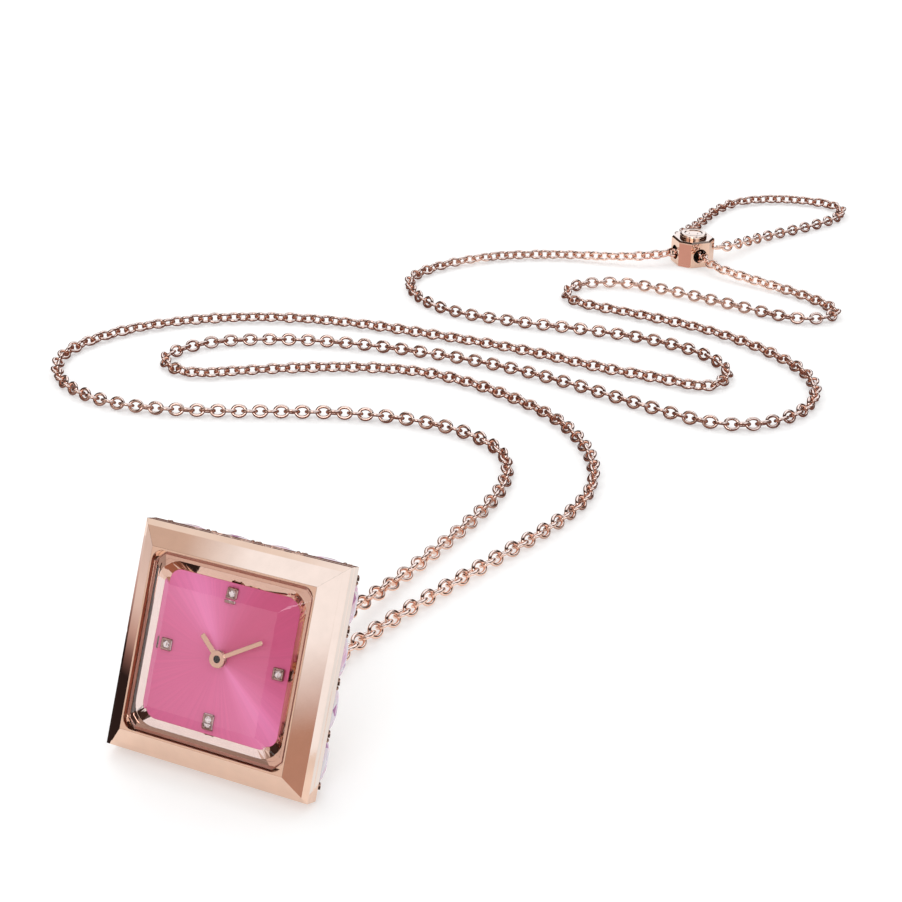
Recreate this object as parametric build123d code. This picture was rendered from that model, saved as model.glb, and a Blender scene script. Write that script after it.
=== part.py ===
# Square pendant watch on a long cable chain with a sliding bead.
# Millimetres, +Z up. The case leans back on its rear stones and the chain lies behind it.
# Pieces of the case are drawn face up in the dial's own frame: +X to 3 o'clock, +Y to 12 o'clock,
# +Z out of the dial, with zero at the outer edge of the front bevel. place_case() then stands them up.
import os
from math import atan2, cos, degrees, radians, sin, sqrt, tan

from build123d import *

os.makedirs("parts", exist_ok=True)

# How the case stands
CASE_LEAN = 25.88
CASE_CENTRE_BACK = -2.5
CASE_CENTRE_UP = 13.286

# Case outside, half sizes across the flats
CASE_HALF = 13.0
EDGE_SLOPE = 0.6
BEVEL_WIDTH = 2.0
LIP_WIDTH = 0.5
REAR_TAPER = 1.4
BEVEL_FOOT_HALF = CASE_HALF - EDGE_SLOPE
LIP_HALF = BEVEL_FOOT_HALF - BEVEL_WIDTH
REAR_HALF = CASE_HALF - REAR_TAPER
LIP_UP = 1.5
EDGE_DOWN = -0.55
SEAM_DOWN = -1.4
WALL_END_DOWN = -2.45
REAR_DOWN = -4.9
SEAM_CHAMFER = 0.08
OPENING_CORNER = 1.3

# Seats inside the case
LEDGE_WIDTH = 0.7
LEDGE_HALF = LIP_HALF - LIP_WIDTH - LEDGE_WIDTH
LEDGE_TOP = 0.45
LEDGE_BOTTOM = 0.15
LEDGE_CORNER = 0.7
RIM_SETBACK = 1.6
RIM_WALL = 1.1
RIM_HALF = CASE_HALF - RIM_SETBACK
CAVITY_HALF = RIM_HALF - RIM_WALL
CAVITY_CORNER = 1.4
INNER_GAP = 0.1
RIM_TOP = -0.4
RIM_CORNER = 1.5
COVER_SEAT_DOWN = -4.5
FIT = 0.05
OVERRUN = 0.5

# Stones on the tapered rear shoulder
STONES_PER_SIDE = 4
SIDES = 4
STONE_PITCH = 5.8
STONE_LENGTH = 5.2
STONE_WIDTH = 2.2
STONE_PROUD = 0.6
STONE_SUNK = 0.3
STONE_TABLE_LENGTH = 1.6
STONE_TABLE_WIDTH = 0.5
CLAW_WIDTH = 0.45
CLAW_LENGTH = 1.6
CLAW_PROUD = 0.33
CLAW_SUNK = 0.2

# Crystal and its gasket
GLASS_SIDE_GAP = 0.15
GLASS_FACET_WIDTH = 2.9
GLASS_HALF = LIP_HALF - LIP_WIDTH - GLASS_SIDE_GAP
GLASS_TABLE_HALF = GLASS_HALF - GLASS_FACET_WIDTH
GLASS_CORNER_CUT = 1.2
GLASS_BOTTOM = 0.75
GLASS_GIRDLE_TOP = 1.05
GLASS_TOP = 2.5
GASKET_INNER_HALF = LEDGE_HALF + INNER_GAP

# Flange ring and dial
FLANGE_HALF = CAVITY_HALF - INNER_GAP
FLANGE_CORNER = 1.2
FLANGE_SLOPE = 1.15
FLANGE_TOP_HALF = LEDGE_HALF - FIT
DIAL_VISIBLE_HALF = FLANGE_TOP_HALF - FLANGE_SLOPE
DIAL_VISIBLE_CORNER = 1.2
DIAL_HALF = FLANGE_HALF - INNER_GAP
DIAL_TOP = -0.6
DIAL_BOTTOM = -1.0
DIAL_HOLE_R = 0.85

# Hour markers
MARKER_RADIUS = 6.85
MARKER_SIDE = 1.37
MARKER_WALL = 0.18
MARKER_HEIGHT = 0.35
MARKER_STONE_HEIGHT = 0.4
MARKER_TABLE_SIDE = 0.55
MARKER_GIRDLE_HEIGHT = 0.2
MARKER_CLEARANCE = 0.02

# Hands
HOUR_HAND_LENGTH = 3.3
HOUR_HAND_WIDTH = 0.62
HOUR_HAND_ANGLE = 312.0
HOUR_HAND_BOTTOM = 0.05
HOUR_HUB_R = 1.0
MINUTE_HAND_LENGTH = 5.9
MINUTE_HAND_WIDTH = 0.5
MINUTE_HAND_ANGLE = 59.0
MINUTE_HAND_BOTTOM = 0.32
MINUTE_HUB_R = 0.95
HAND_THICKNESS = 0.15
HAND_TIP_CUT = 0.1
HUB_TOP = 0.6

# Gears: modules, tooth counts and levels
TRAIN_MODULE = 0.09
CENTRE_MODULE = 0.12
MOTION_MODULE = 0.10
ROTOR_TEETH = 6
INTERMEDIATE_TEETH = 36
INTERMEDIATE_PINION_TEETH = 8
THIRD_TEETH = 40
THIRD_PINION_TEETH = 10
CENTRE_TEETH = 30
CANNON_TEETH = 10
MINUTE_TEETH = 30
MINUTE_PINION_TEETH = 8
HOUR_TEETH = 32
ADDENDUM_SHARE = 0.95
DEDENDUM_SHARE = 1.2
TOOTH_ROOT_SHARE = 0.62
SHAFT_CLEARANCE = 0.03
SMALL_ARBOR_R = 0.15
CENTRE_ARBOR_R = 0.2
THIRD_DIRECTION = 140.0
INTERMEDIATE_DIRECTION = 95.0
ROTOR_DIRECTION = 10.0
MINUTE_WHEEL_DIRECTION = 180.0
CENTRE_WHEEL_LEVEL = (-2.4, -2.2)
THIRD_PINION_LEVEL = (-2.54, -2.12)
THIRD_WHEEL_LEVEL = (-2.74, -2.54)
INTERMEDIATE_PINION_LEVEL = (-2.84, -2.5)
INTERMEDIATE_WHEEL_LEVEL = (-3.04, -2.84)
ROTOR_PINION_LEVEL = (-3.1, -2.7)
ROTOR_MAGNET_LEVEL = (-2.5, -2.1)
ROTOR_MAGNET_R = 0.95
CANNON_PINION_LEVEL = (-1.69, -1.4)
CANNON_PIPE_R = 0.42
CANNON_PIPE_TOP = 0.56
MINUTE_WHEEL_LEVEL = (-1.67, -1.47)
MINUTE_PINION_LEVEL = (-1.47, -1.08)
HOUR_WHEEL_LEVEL = (-1.32, -1.12)
HOUR_PIPE_R = 0.72
HOUR_PIPE_TOP = 0.22

# Movement plates
PLATE_LENGTH = 17.8
PLATE_WIDTH = 15.3
PLATE_CORNER = 1.0
HIDDEN_ROUND_SIDES = 12
PLATE_BOTTOM = -2.0
MOTION_FLOOR = -1.72
MOTION_WALL_GAP = 0.15
BRIDGE_TOP = -3.2
BRIDGE_BOTTOM = -3.6
BRIDGE_LEFT = -6.6
BRIDGE_RIGHT = 3.8
BRIDGE_FRONT = -2.9
BRIDGE_BACK = 5.4
BRIDGE_CORNER = 0.8
PILLAR_R = 0.7
SCREW_R = 0.25
SCREW_HEAD_R = 0.55
SCREW_HEAD_HEIGHT = 0.3
SCREW_LENGTH = 1.4
SCREW_SLOT_WIDTH = 0.12
SCREW_SLOT_DEPTH = 0.12
PILLAR_LEFT_X = -5.6
PILLAR_RIGHT_X = 2.9
PILLAR_BACK_Y = 4.4
PILLAR_MIDDLE_Y = 0.9
PILLAR_FRONT_Y = -2.0
HOLDER_BOTTOM = -4.1

# Battery, clamp and coil
BATTERY_R = 3.4
BATTERY_HEIGHT = 2.15
BATTERY_TOP = -1.3
BATTERY_STEP = 0.3
BATTERY_X = 3.6
BATTERY_Y = -4.6
BATTERY_GAP = 0.1
CLAMP_WIDTH = 1.2
CLAMP_THICKNESS = 0.15
CLAMP_X = -0.65
CLAMP_Y = -5.0
CLAMP_REACH = 6.2
CLAMP_POST_R = 0.55
COIL_Y = 7.3
COIL_R = 0.95
COIL_HALF_LENGTH = 3.2
CORE_HALF_LENGTH = 4.6
CORE_WIDTH = 0.9
CORE_THICKNESS = 0.3
STATOR_LEVEL = (-2.45, -2.1)
STATOR_HALF_WIDTH = 4.6
STATOR_FRONT = 2.45
STATOR_WAIST = 5.6
STATOR_BACK = 7.9
STATOR_ARM = 1.1
STATOR_BORE_R = 1.1
STATOR_SLOT = 0.2

# Circuit board
BOARD_LEFT = -7.3
BOARD_RIGHT = -1.5
BOARD_FRONT = -8.5
BOARD_BACK = -3.2
BOARD_THICKNESS = 0.3
CHIP_SIDE = 1.8
CHIP_HEIGHT = 0.5
CHIP_X = -4.4
CHIP_Y = -4.9
QUARTZ_R = 0.75
QUARTZ_LENGTH = 5.0
QUARTZ_X = -4.4
QUARTZ_Y = -7.4

# Crown at 9 o'clock
CROWN_DOWN = -1.5
CROWN_R = 0.9
CROWN_RECESS_R = 1.0
CROWN_CAVITY_R = 0.72
CROWN_LENGTH = 1.17
CROWN_FACE_HALF = CASE_HALF - FIT
CROWN_INNER_HALF = CROWN_FACE_HALF - CROWN_LENGTH
CROWN_RECESS_GAP = 0.08
CROWN_RECESS_HALF = CROWN_INNER_HALF - CROWN_RECESS_GAP
CROWN_WEB = 0.35
CROWN_FLUTES = 16
CROWN_FLUTE_DEPTH = 0.08
CROWN_TRAVEL = 0.6
STEM_R = 0.25
STEM_END_HALF = 3.95
STEM_NECK_R = 0.14
TUBE_R = 0.5
TUBE_BORE_R = 0.3
TUBE_END_HALF = CROWN_FACE_HALF - CROWN_WEB - FIT
RING_R = 0.7
RING_LENGTH = 0.3
SLIDING_PINION_R = 0.42
SLIDING_PINION_LENGTH = 0.7
SLIDING_PINION_TEETH = 10
SLIDING_PINION_TOOTH = 0.12
STEM_SLOT_HALF = 0.48
LEVER_PEG_X = -6.0
LEVER_PIVOT_Y = 1.5
LEVER_PEG_R = 0.12
LEVER_WIDTH = 0.5
LEVER_TOP = -1.02
LEVER_BOTTOM = -1.14
LEVER_PEG_BOTTOM = -1.33
LEVER_RECESS = -1.18

# Back cover
COVER_SETBACK = 0.75
COVER_HALF = REAR_HALF - COVER_SETBACK
COVER_REAR = -5.3
COVER_FLAT_HALF = 4.9
COVER_PLUG_GAP = 0.4
COVER_PLUG_WALL = 0.9
COVER_PLUG_HALF = CAVITY_HALF - COVER_PLUG_GAP
COVER_CORNER = 0.8
COVER_NOTCH_WIDTH = 2.4
COVER_NOTCH_DEPTH = 0.35
COVER_NOTCH_RISE = 0.2
BACK_GASKET_HEIGHT = 0.3

# Bail on the top rear edge
HINGE_SETBACK = 0.35
HINGE_Y = REAR_HALF - HINGE_SETBACK
HINGE_DOWN = -5.76
KNUCKLE_R = 0.8
KNUCKLE_WIDTH = 0.7
PIN_R = 0.25
BAIL_WIRE_R = 0.4
BAIL_WIRE_SIDES = 6
BAIL_HALF = 2.0
BAIL_DROP = 4.2
BAIL_BARREL_R = 0.6
BAIL_BARREL_GAP = 0.06
JUMP_RING_R = 1.75
JUMP_WIRE_R = 0.25
JUMP_WIRE_SIDES = 4
JUMP_RING_X = 1.25
JUMP_RING_SAG = 0.4

# Chain and sliding bead
CHAIN_D = 2.2
CHAIN_SIDES = 6
ARC_SHARE = 0.45
BEAD_X = -2.4
BEAD_Y = 173.2
BEAD_TURN = 41.5
BEAD_HALF = 3.7
BEAD_CORNER_CUT = 1.84
BEAD_WALL = 0.6
BEAD_BASE = 0.6
BEAD_TOP = 5.2
BEAD_EDGE = 0.3
BEAD_HOLE_R = 1.4
BEAD_HOLE_UP = 2.35
BEAD_CAP_R = 2.6
BEAD_CAP_TOP = 6.0
BEAD_CAP_EDGE = 0.3
CORE_CLEARANCE = 0.05

# Points of the chain's three stretches, each a smooth line through the middle of its runs
LEFT_STRAND = [
    (-1.25, 7.6, 14.2), (-1.2, 8.6, 8.5), (-1.0, 15.5, 4.5), (-0.6, 23.5, 3.0), (0.0, 31.5, 2.0),
    (0.8, 39.5, 1.1), (2.0, 49.5, 1.1), (3.0, 59.5, 1.1), (2.8, 69.5, 1.1), (-0.8, 78.5, 1.1),
    (-9.5, 83.1, 1.1), (-20.0, 83.4, 1.1), (-29.5, 81.3, 1.1), (-38.5, 77.5, 1.1), (-47.5, 73.5, 1.1),
    (-57.0, 69.8, 1.1), (-65.5, 68.2, 1.1), (-73.5, 69.2, 1.1), (-81.0, 73.5, 1.1), (-85.5, 81.0, 1.1),
    (-84.2, 90.0, 1.1), (-78.8, 99.0, 1.1), (-70.0, 106.5, 1.1), (-59.5, 111.8, 1.1), (-46.0, 115.0, 1.1),
    (-30.0, 116.0, 1.1), (-14.0, 116.5, 1.1), (0.0, 114.8, 1.1), (11.0, 115.1, 1.1), (19.5, 114.3, 1.1),
    (21.5, 121.5, 1.1), (15.5, 127.8, 1.1), (5.0, 130.3, 1.1), (-6.0, 129.7, 1.1), (-20.0, 127.5, 1.1),
    (-33.0, 126.7, 1.1), (-42.0, 130.5, 1.1), (-48.0, 138.5, 1.1), (-45.0, 148.5, 1.1), (-37.5, 157.5, 1.1),
    (-26.0, 163.5, 1.1), (-16.5, 165.0, 1.5), (-9.25, 166.9, 2.2), (-4.03, 171.76, 2.35),
    (-3.84, 174.83, 2.35), (-5.71, 176.95, 2.35),
]
RIGHT_STRAND = [
    (1.25, 7.6, 14.2), (1.4, 8.8, 7.0), (2.0, 15.5, 1.6), (3.0, 24.5, 1.1), (5.5, 34.0, 1.1),
    (9.5, 47.5, 1.1), (14.0, 61.5, 1.1), (15.2, 72.5, 1.1), (11.2, 83.5, 1.1), (2.3, 93.0, 1.1),
    (-9.0, 98.1, 1.1), (-20.0, 100.8, 1.1), (-30.0, 100.3, 1.1), (-41.0, 96.0, 1.1), (-52.0, 89.5, 1.1),
    (-61.5, 82.7, 1.1), (-69.5, 86.5, 1.1), (-66.5, 95.5, 1.1), (-58.0, 101.2, 1.1), (-47.0, 105.5, 1.1),
    (-32.0, 108.1, 1.1), (-16.0, 108.8, 1.1), (-2.0, 106.9, 1.1), (12.0, 103.7, 1.1), (25.0, 101.6, 1.1),
    (33.3, 106.5, 1.1), (37.0, 116.5, 1.1), (33.6, 126.8, 1.1), (24.0, 134.0, 1.1), (12.0, 138.7, 1.1),
    (-2.0, 140.2, 1.1), (-16.5, 140.7, 1.1), (-18.5, 148.5, 1.1), (-11.5, 154.2, 1.1), (0.0, 153.8, 1.1),
    (13.0, 151.7, 1.1), (26.0, 149.5, 1.1), (32.0, 156.0, 1.1), (24.0, 161.8, 1.1), (13.0, 164.9, 1.3),
    (4.3, 166.6, 2.0), (-0.96, 171.57, 2.35), (-0.77, 174.64, 2.35), (1.35, 176.51, 2.35),
]
END_LOOP = [
    (-5.71, 176.95, 2.35), (-7.7, 179.2, 2.35), (-7.6, 185.0, 1.7), (-6.9, 192.0, 1.1), (-6.9, 200.5, 1.1),
    (-4.3, 210.5, 1.1), (5.0, 216.5, 1.1), (17.0, 216.5, 1.1), (18.5, 208.5, 1.1), (13.5, 199.5, 1.1),
    (7.7, 191.0, 1.1), (5.4, 184.5, 1.7), (3.6, 178.5, 2.35), (1.35, 176.51, 2.35),
]


def leaning_bar(plane, low_half, low, high_half, high, reach):
    """A bar with two leaning sides, drawn as a section on a plane and extruded both ways."""
    points = [(-low_half, low), (low_half, low), (high_half, high), (-high_half, high)]
    return extrude(plane * make_face(Polyline(*points, close=True)), reach, both=True)


def leaning_block(low_halves, low, high_halves, high):
    """A four-sided block whose flat sides lean from one half length and width to another."""
    reach = max(low_halves + high_halves)
    along = leaning_bar(Plane.XZ, low_halves[0], low, high_halves[0], high, reach)
    return along & leaning_bar(Plane.YZ, low_halves[1], low, high_halves[1], high, reach)


def frustum(low_half, low, high_half, high):
    """A square block whose flat sides lean from one half size to another."""
    return leaning_block((low_half, low_half), low, (high_half, high_half), high)


def rounded_block(half, corner, low, high):
    """A square block with rounded upright corners."""
    return extrude(Plane.XY.offset(low) * RectangleRounded(2 * half, 2 * half, corner), high - low)


def cut_block(half, corner, low, high, half_y=None):
    """A square or oblong block with cut upright corners."""
    outline = chamfer(Rectangle(2 * half, 2 * (half_y or half)).vertices(), corner)
    return extrude(Plane.XY.offset(low) * outline, high - low)


def disc(radius, low, high, x=0, y=0):
    """A round solid standing on a level."""
    return extrude(Plane.XY.offset(low) * Pos(x, y) * Circle(radius), high - low)


def small_disc(radius, low, high, x=0, y=0):
    """A small hidden round solid, drawn with a few sides inside its circle."""
    outline = RegularPolygon(radius, HIDDEN_ROUND_SIDES)
    return extrude(Plane.XY.offset(low) * Pos(x, y) * outline, high - low)


def small_hole(radius, low, high, x=0, y=0):
    """A small hidden round hole, drawn with a few sides outside its circle."""
    outline = RegularPolygon(radius, HIDDEN_ROUND_SIDES, major_radius=False)
    return extrude(Plane.XY.offset(low) * Pos(x, y) * outline, high - low)


def box_between(x_range, y_range, z_range):
    """A box given by its limits on each axis."""
    size = [limits[1] - limits[0] for limits in (x_range, y_range, z_range)]
    middle = [sum(limits) / 2 for limits in (x_range, y_range, z_range)]
    return Pos(*middle) * Box(*size)


def side_disc(radius, outer_half, inner_half, up=CROWN_DOWN):
    """A round solid that lies along the crown's axis on the left side."""
    length = outer_half - inner_half
    return Pos(-(outer_half + inner_half) / 2, 0, up) * Rot(0, 90, 0) * Cylinder(radius, length)


def side_plane(outer_half):
    """The plane across the crown's axis, z axis inwards, at a distance from the middle."""
    return Plane((-outer_half, 0, CROWN_DOWN), z_dir=(1, 0, 0))


def small_side_ring(radius, bore_r, outer_half, length):
    """A small hidden ring on the crown's axis, drawn with a few sides."""
    bore = RegularPolygon(bore_r, HIDDEN_ROUND_SIDES, major_radius=False)
    ring = RegularPolygon(radius, HIDDEN_ROUND_SIDES) - bore
    return extrude(side_plane(outer_half) * ring, length)


def direction(angle, distance):
    """The point at a distance in a direction, in degrees from +X."""
    return (distance * cos(radians(angle)), distance * sin(radians(angle)))


def added(start, angle, distance):
    """A point that lies in a direction from another."""
    step = direction(angle, distance)
    return (start[0] + step[0], start[1] + step[1])


def gear(teeth, module, level, tooth_angle=0, centre=(0, 0)):
    """A flat spur gear with pointed teeth, one of them centred on tooth_angle."""
    pitch_r = teeth * module / 2
    tip_r = pitch_r + ADDENDUM_SHARE * module
    root_r = pitch_r - DEDENDUM_SHARE * module
    points = []
    for tooth in range(teeth):
        step = 360 / teeth
        middle = tooth_angle + tooth * step
        root = TOOTH_ROOT_SHARE * step / 2
        points.append(direction(middle - root, root_r))
        points.append(direction(middle, tip_r))
        points.append(direction(middle + root, root_r))
    outline = make_face(Polyline(*points, close=True))
    return extrude(Plane.XY.offset(level[0]) * Pos(*centre) * outline, level[1] - level[0])


def fluted_outline(flutes, outer_r, depth):
    """An outline with shallow pointed flutes."""
    points = []
    for flute in range(flutes):
        points.append(direction(360 / flutes * flute, outer_r))
        points.append(direction(360 / flutes * (flute + 1 / 2), outer_r - depth))
    return make_face(Polyline(*points, close=True))


def meshed_angle(own_teeth, own_angle, direction_angle, other_teeth):
    """The other gear's tooth angle that puts its gap on this gear's tooth."""
    phase = (direction_angle - own_angle) * own_teeth / 360
    return direction_angle + 180 - (0.5 - phase) * 360 / other_teeth


# Places of the arbors, worked out from the gears' sizes
CENTRE_DISTANCE = CENTRE_MODULE * (CENTRE_TEETH + THIRD_PINION_TEETH) / 2
THIRD_DISTANCE = TRAIN_MODULE * (THIRD_TEETH + INTERMEDIATE_PINION_TEETH) / 2
ROTOR_DISTANCE = TRAIN_MODULE * (INTERMEDIATE_TEETH + ROTOR_TEETH) / 2
MOTION_DISTANCE = MOTION_MODULE * (CANNON_TEETH + MINUTE_TEETH) / 2
THIRD_PLACE = direction(THIRD_DIRECTION, CENTRE_DISTANCE)
INTERMEDIATE_PLACE = added(THIRD_PLACE, INTERMEDIATE_DIRECTION, THIRD_DISTANCE)
ROTOR_PLACE = added(INTERMEDIATE_PLACE, ROTOR_DIRECTION, ROTOR_DISTANCE)
MINUTE_PLACE = direction(MINUTE_WHEEL_DIRECTION, MOTION_DISTANCE)
PILLAR_PLACES = (
    (PILLAR_LEFT_X, PILLAR_BACK_Y),
    (PILLAR_RIGHT_X, PILLAR_MIDDLE_Y),
    (PILLAR_LEFT_X, PILLAR_FRONT_Y),
)

# Slope of the rear shoulder that carries the stones
SHOULDER_SLOPE = degrees(atan2(CASE_HALF - REAR_HALF, WALL_END_DOWN - REAR_DOWN))
SHOULDER_MIDDLE_HALF = (CASE_HALF + REAR_HALF) / 2
SHOULDER_MIDDLE_DOWN = (WALL_END_DOWN + REAR_DOWN) / 2


def shoulder_plane(along):
    """A plane on the right-hand shoulder, its x axis along the side and z axis outwards."""
    outwards = (cos(radians(SHOULDER_SLOPE)), 0, -sin(radians(SHOULDER_SLOPE)))
    return Plane((SHOULDER_MIDDLE_HALF, along, SHOULDER_MIDDLE_DOWN), x_dir=(0, 1, 0), z_dir=outwards)


def round_the_sides(shape):
    """Copies of a right-hand side piece on all four sides."""
    return [Rot(0, 0, 360 / SIDES * side) * shape for side in range(SIDES)]


def stone_places():
    """How far along a side each of its stones sits."""
    first = -(STONES_PER_SIDE - 1) * STONE_PITCH / 2
    return [first + STONE_PITCH * index for index in range(STONES_PER_SIDE)]


def make_stone():
    """One fancy-cut stone: a sunk block under a long four-sided crown."""
    base = Pos(0, 0, -STONE_SUNK / 2) * Box(STONE_LENGTH, STONE_WIDTH, STONE_SUNK)
    girdle = (STONE_LENGTH / 2, STONE_WIDTH / 2)
    table = (STONE_TABLE_LENGTH / 2, STONE_TABLE_WIDTH / 2)
    return base + leaning_block(girdle, 0, table, STONE_PROUD)


def make_case_stones():
    """All the stones of the shoulder, as separate solids."""
    side = [shoulder_plane(along) * make_stone() for along in stone_places()]
    return Compound([copy for stone in side for copy in round_the_sides(stone)])


def stone_seats():
    """The pockets that the stones sit in."""
    depth = STONE_SUNK
    seat = Pos(0, 0, (OVERRUN - depth) / 2) * Box(STONE_LENGTH, STONE_WIDTH, depth + OVERRUN)
    return [copy for along in stone_places() for copy in round_the_sides(shoulder_plane(along) * seat)]


def stone_claws():
    """The bars that stand between the stones and hold their ends."""
    height = CLAW_PROUD + CLAW_SUNK
    bar = Pos(0, 0, (CLAW_PROUD - CLAW_SUNK) / 2) * Box(CLAW_WIDTH, CLAW_LENGTH, height)
    places = [along + STONE_PITCH / 2 for along in stone_places()] + [-STONES_PER_SIDE * STONE_PITCH / 2]
    return [copy for along in places for copy in round_the_sides(shoulder_plane(along) * bar)]


def crown_recess():
    """The scoop for the crown and the hole for its tube."""
    scoop = side_disc(CROWN_RECESS_R, CASE_HALF + OVERRUN, CROWN_RECESS_HALF)
    return scoop + side_disc(TUBE_R, CROWN_RECESS_HALF + OVERRUN, CAVITY_HALF - OVERRUN)


def make_bezel():
    """The front bevel with mitred corners, its lip, ledge and inner pockets."""
    ring = frustum(CASE_HALF - SEAM_CHAMFER, SEAM_DOWN, CASE_HALF, SEAM_DOWN + SEAM_CHAMFER)
    ring += frustum(CASE_HALF, SEAM_DOWN + SEAM_CHAMFER, CASE_HALF, EDGE_DOWN)
    ring += frustum(CASE_HALF, EDGE_DOWN, BEVEL_FOOT_HALF, 0)
    ring += frustum(BEVEL_FOOT_HALF, 0, LIP_HALF, LIP_UP)
    ring -= rounded_block(LIP_HALF - LIP_WIDTH, OPENING_CORNER, LEDGE_TOP, LIP_UP + OVERRUN)
    ring -= cut_block(LEDGE_HALF, LEDGE_CORNER, SEAM_DOWN - OVERRUN, LEDGE_TOP + OVERRUN)
    ring -= cut_block(FLANGE_HALF + FIT, FLANGE_CORNER, SEAM_DOWN - OVERRUN, LEDGE_BOTTOM)
    ring -= cut_block(RIM_HALF + FIT / 2, RIM_CORNER, SEAM_DOWN - OVERRUN, RIM_TOP)
    return ring - crown_recess()


def make_case_frame():
    """The middle of the case: rim, wall, tapered shoulder, stone seats and bail knuckles."""
    body = frustum(REAR_HALF, REAR_DOWN, CASE_HALF, WALL_END_DOWN)
    body += frustum(CASE_HALF, WALL_END_DOWN, CASE_HALF, SEAM_DOWN - SEAM_CHAMFER)
    body += frustum(CASE_HALF, SEAM_DOWN - SEAM_CHAMFER, CASE_HALF - SEAM_CHAMFER, SEAM_DOWN)
    body += cut_block(RIM_HALF, RIM_CORNER, WALL_END_DOWN, RIM_TOP)
    for seat in stone_seats():
        body -= seat
    for claw in stone_claws():
        body += claw
    for side in (-1, 1):
        body += knuckle(side)
    body -= cut_block(CAVITY_HALF, CAVITY_CORNER, COVER_SEAT_DOWN - OVERRUN, RIM_TOP + OVERRUN)
    body -= cut_block(COVER_HALF + FIT, COVER_CORNER, REAR_DOWN - OVERRUN, COVER_SEAT_DOWN)
    return body - crown_recess()


def knuckle(side):
    """One of the two ears that hold the bail's pin behind the top edge."""
    middle = side * (BAIL_HALF + BAIL_WIRE_R + BAIL_BARREL_GAP + KNUCKLE_WIDTH / 2)
    ear = Pos(middle, HINGE_Y, HINGE_DOWN) * Rot(0, 90, 0) * Cylinder(KNUCKLE_R, KNUCKLE_WIDTH)
    x_range = (middle - KNUCKLE_WIDTH / 2, middle + KNUCKLE_WIDTH / 2)
    y_range = (COVER_HALF + FIT, REAR_HALF)
    foot = box_between(x_range, y_range, (HINGE_DOWN, REAR_DOWN + STONE_SUNK))
    hole = Pos(middle, HINGE_Y, HINGE_DOWN) * Rot(0, 90, 0) * Cylinder(PIN_R, KNUCKLE_WIDTH + OVERRUN)
    return ear + foot - hole - cover_keep_out()


def cover_keep_out():
    """The space behind the case that the back cover is pressed through."""
    return cut_block(COVER_HALF + FIT, COVER_CORNER, COVER_REAR - OVERRUN, COVER_SEAT_DOWN)


def make_crystal():
    """The faceted glass: a flat table, four wide facets and small corner facets."""
    glass = frustum(GLASS_HALF, GLASS_BOTTOM, GLASS_HALF, GLASS_GIRDLE_TOP)
    glass += frustum(GLASS_HALF, GLASS_GIRDLE_TOP, GLASS_TABLE_HALF, GLASS_TOP)
    corner_half = (2 * GLASS_HALF - GLASS_CORNER_CUT) / sqrt(2)
    corner_table_half = corner_half - (GLASS_HALF - GLASS_TABLE_HALF)
    cutter = frustum(corner_half, GLASS_BOTTOM, corner_half, GLASS_GIRDLE_TOP)
    cutter += frustum(corner_half, GLASS_GIRDLE_TOP, corner_table_half, GLASS_TOP)
    return glass & (Rot(0, 0, 45) * cutter)


def make_crystal_gasket():
    """The square ring that the crystal rests on."""
    outer = cut_block(GLASS_HALF, OPENING_CORNER, LEDGE_TOP, GLASS_BOTTOM)
    return outer - cut_block(GASKET_INNER_HALF, LEDGE_CORNER, LEDGE_TOP - OVERRUN, GLASS_BOTTOM + OVERRUN)


def make_flange_ring():
    """The polished ring that slopes from the crystal's ledge down to the dial."""
    ring = cut_block(FLANGE_HALF, FLANGE_CORNER, DIAL_TOP, LEDGE_BOTTOM)
    well = frustum(DIAL_VISIBLE_HALF, DIAL_TOP, FLANGE_TOP_HALF, LEDGE_BOTTOM)
    corner_half = (2 * DIAL_VISIBLE_HALF - DIAL_VISIBLE_CORNER) / sqrt(2)
    corners = frustum(corner_half, DIAL_TOP, corner_half + FLANGE_SLOPE, LEDGE_BOTTOM)
    return ring - (well & (Rot(0, 0, 45) * corners))


def make_dial():
    """The dial plate with its centre hole."""
    plate = cut_block(DIAL_HALF, FLANGE_CORNER, DIAL_BOTTOM, DIAL_TOP)
    return plate - disc(DIAL_HOLE_R, DIAL_BOTTOM - OVERRUN, DIAL_TOP + OVERRUN)


def marker_places():
    """The four hour places on the dial."""
    return [Rot(0, 0, 360 / SIDES * side) * Pos(0, MARKER_RADIUS, DIAL_TOP) for side in range(SIDES)]


def make_marker_settings():
    """Four square collets that stand on the dial."""
    pocket = MARKER_SIDE - 2 * MARKER_WALL
    collet = Pos(0, 0, MARKER_HEIGHT / 2) * Box(MARKER_SIDE, MARKER_SIDE, MARKER_HEIGHT)
    collet -= Pos(0, 0, MARKER_HEIGHT / 2) * Box(pocket, pocket, MARKER_HEIGHT + OVERRUN)
    return Compound([place * collet for place in marker_places()])


def make_marker_stones():
    """Four square stones, each standing in its collet."""
    half = MARKER_SIDE / 2 - MARKER_WALL - MARKER_CLEARANCE
    stone = frustum(half, 0, half, MARKER_GIRDLE_HEIGHT)
    stone += frustum(half, MARKER_GIRDLE_HEIGHT, MARKER_TABLE_SIDE / 2, MARKER_STONE_HEIGHT)
    return Compound([place * stone for place in marker_places()])


def make_hand(length, width, angle, bottom, hub_r, bore_r, hub_top):
    """A straight baton hand with a mitred tip on a round hub."""
    tip = HAND_TIP_CUT
    points = [(-width / 2, 0), (width / 2, 0), (width / 2, length - tip), (width / 2 - tip, length)]
    points += [(tip - width / 2, length), (-width / 2, length - tip)]
    blade = extrude(make_face(Polyline(*points, close=True)), HAND_THICKNESS)
    hand = Pos(0, 0, bottom) * Rot(0, 0, -angle) * blade + disc(hub_r, bottom, hub_top)
    return hand - disc(bore_r, bottom - OVERRUN, hub_top + OVERRUN)


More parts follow.
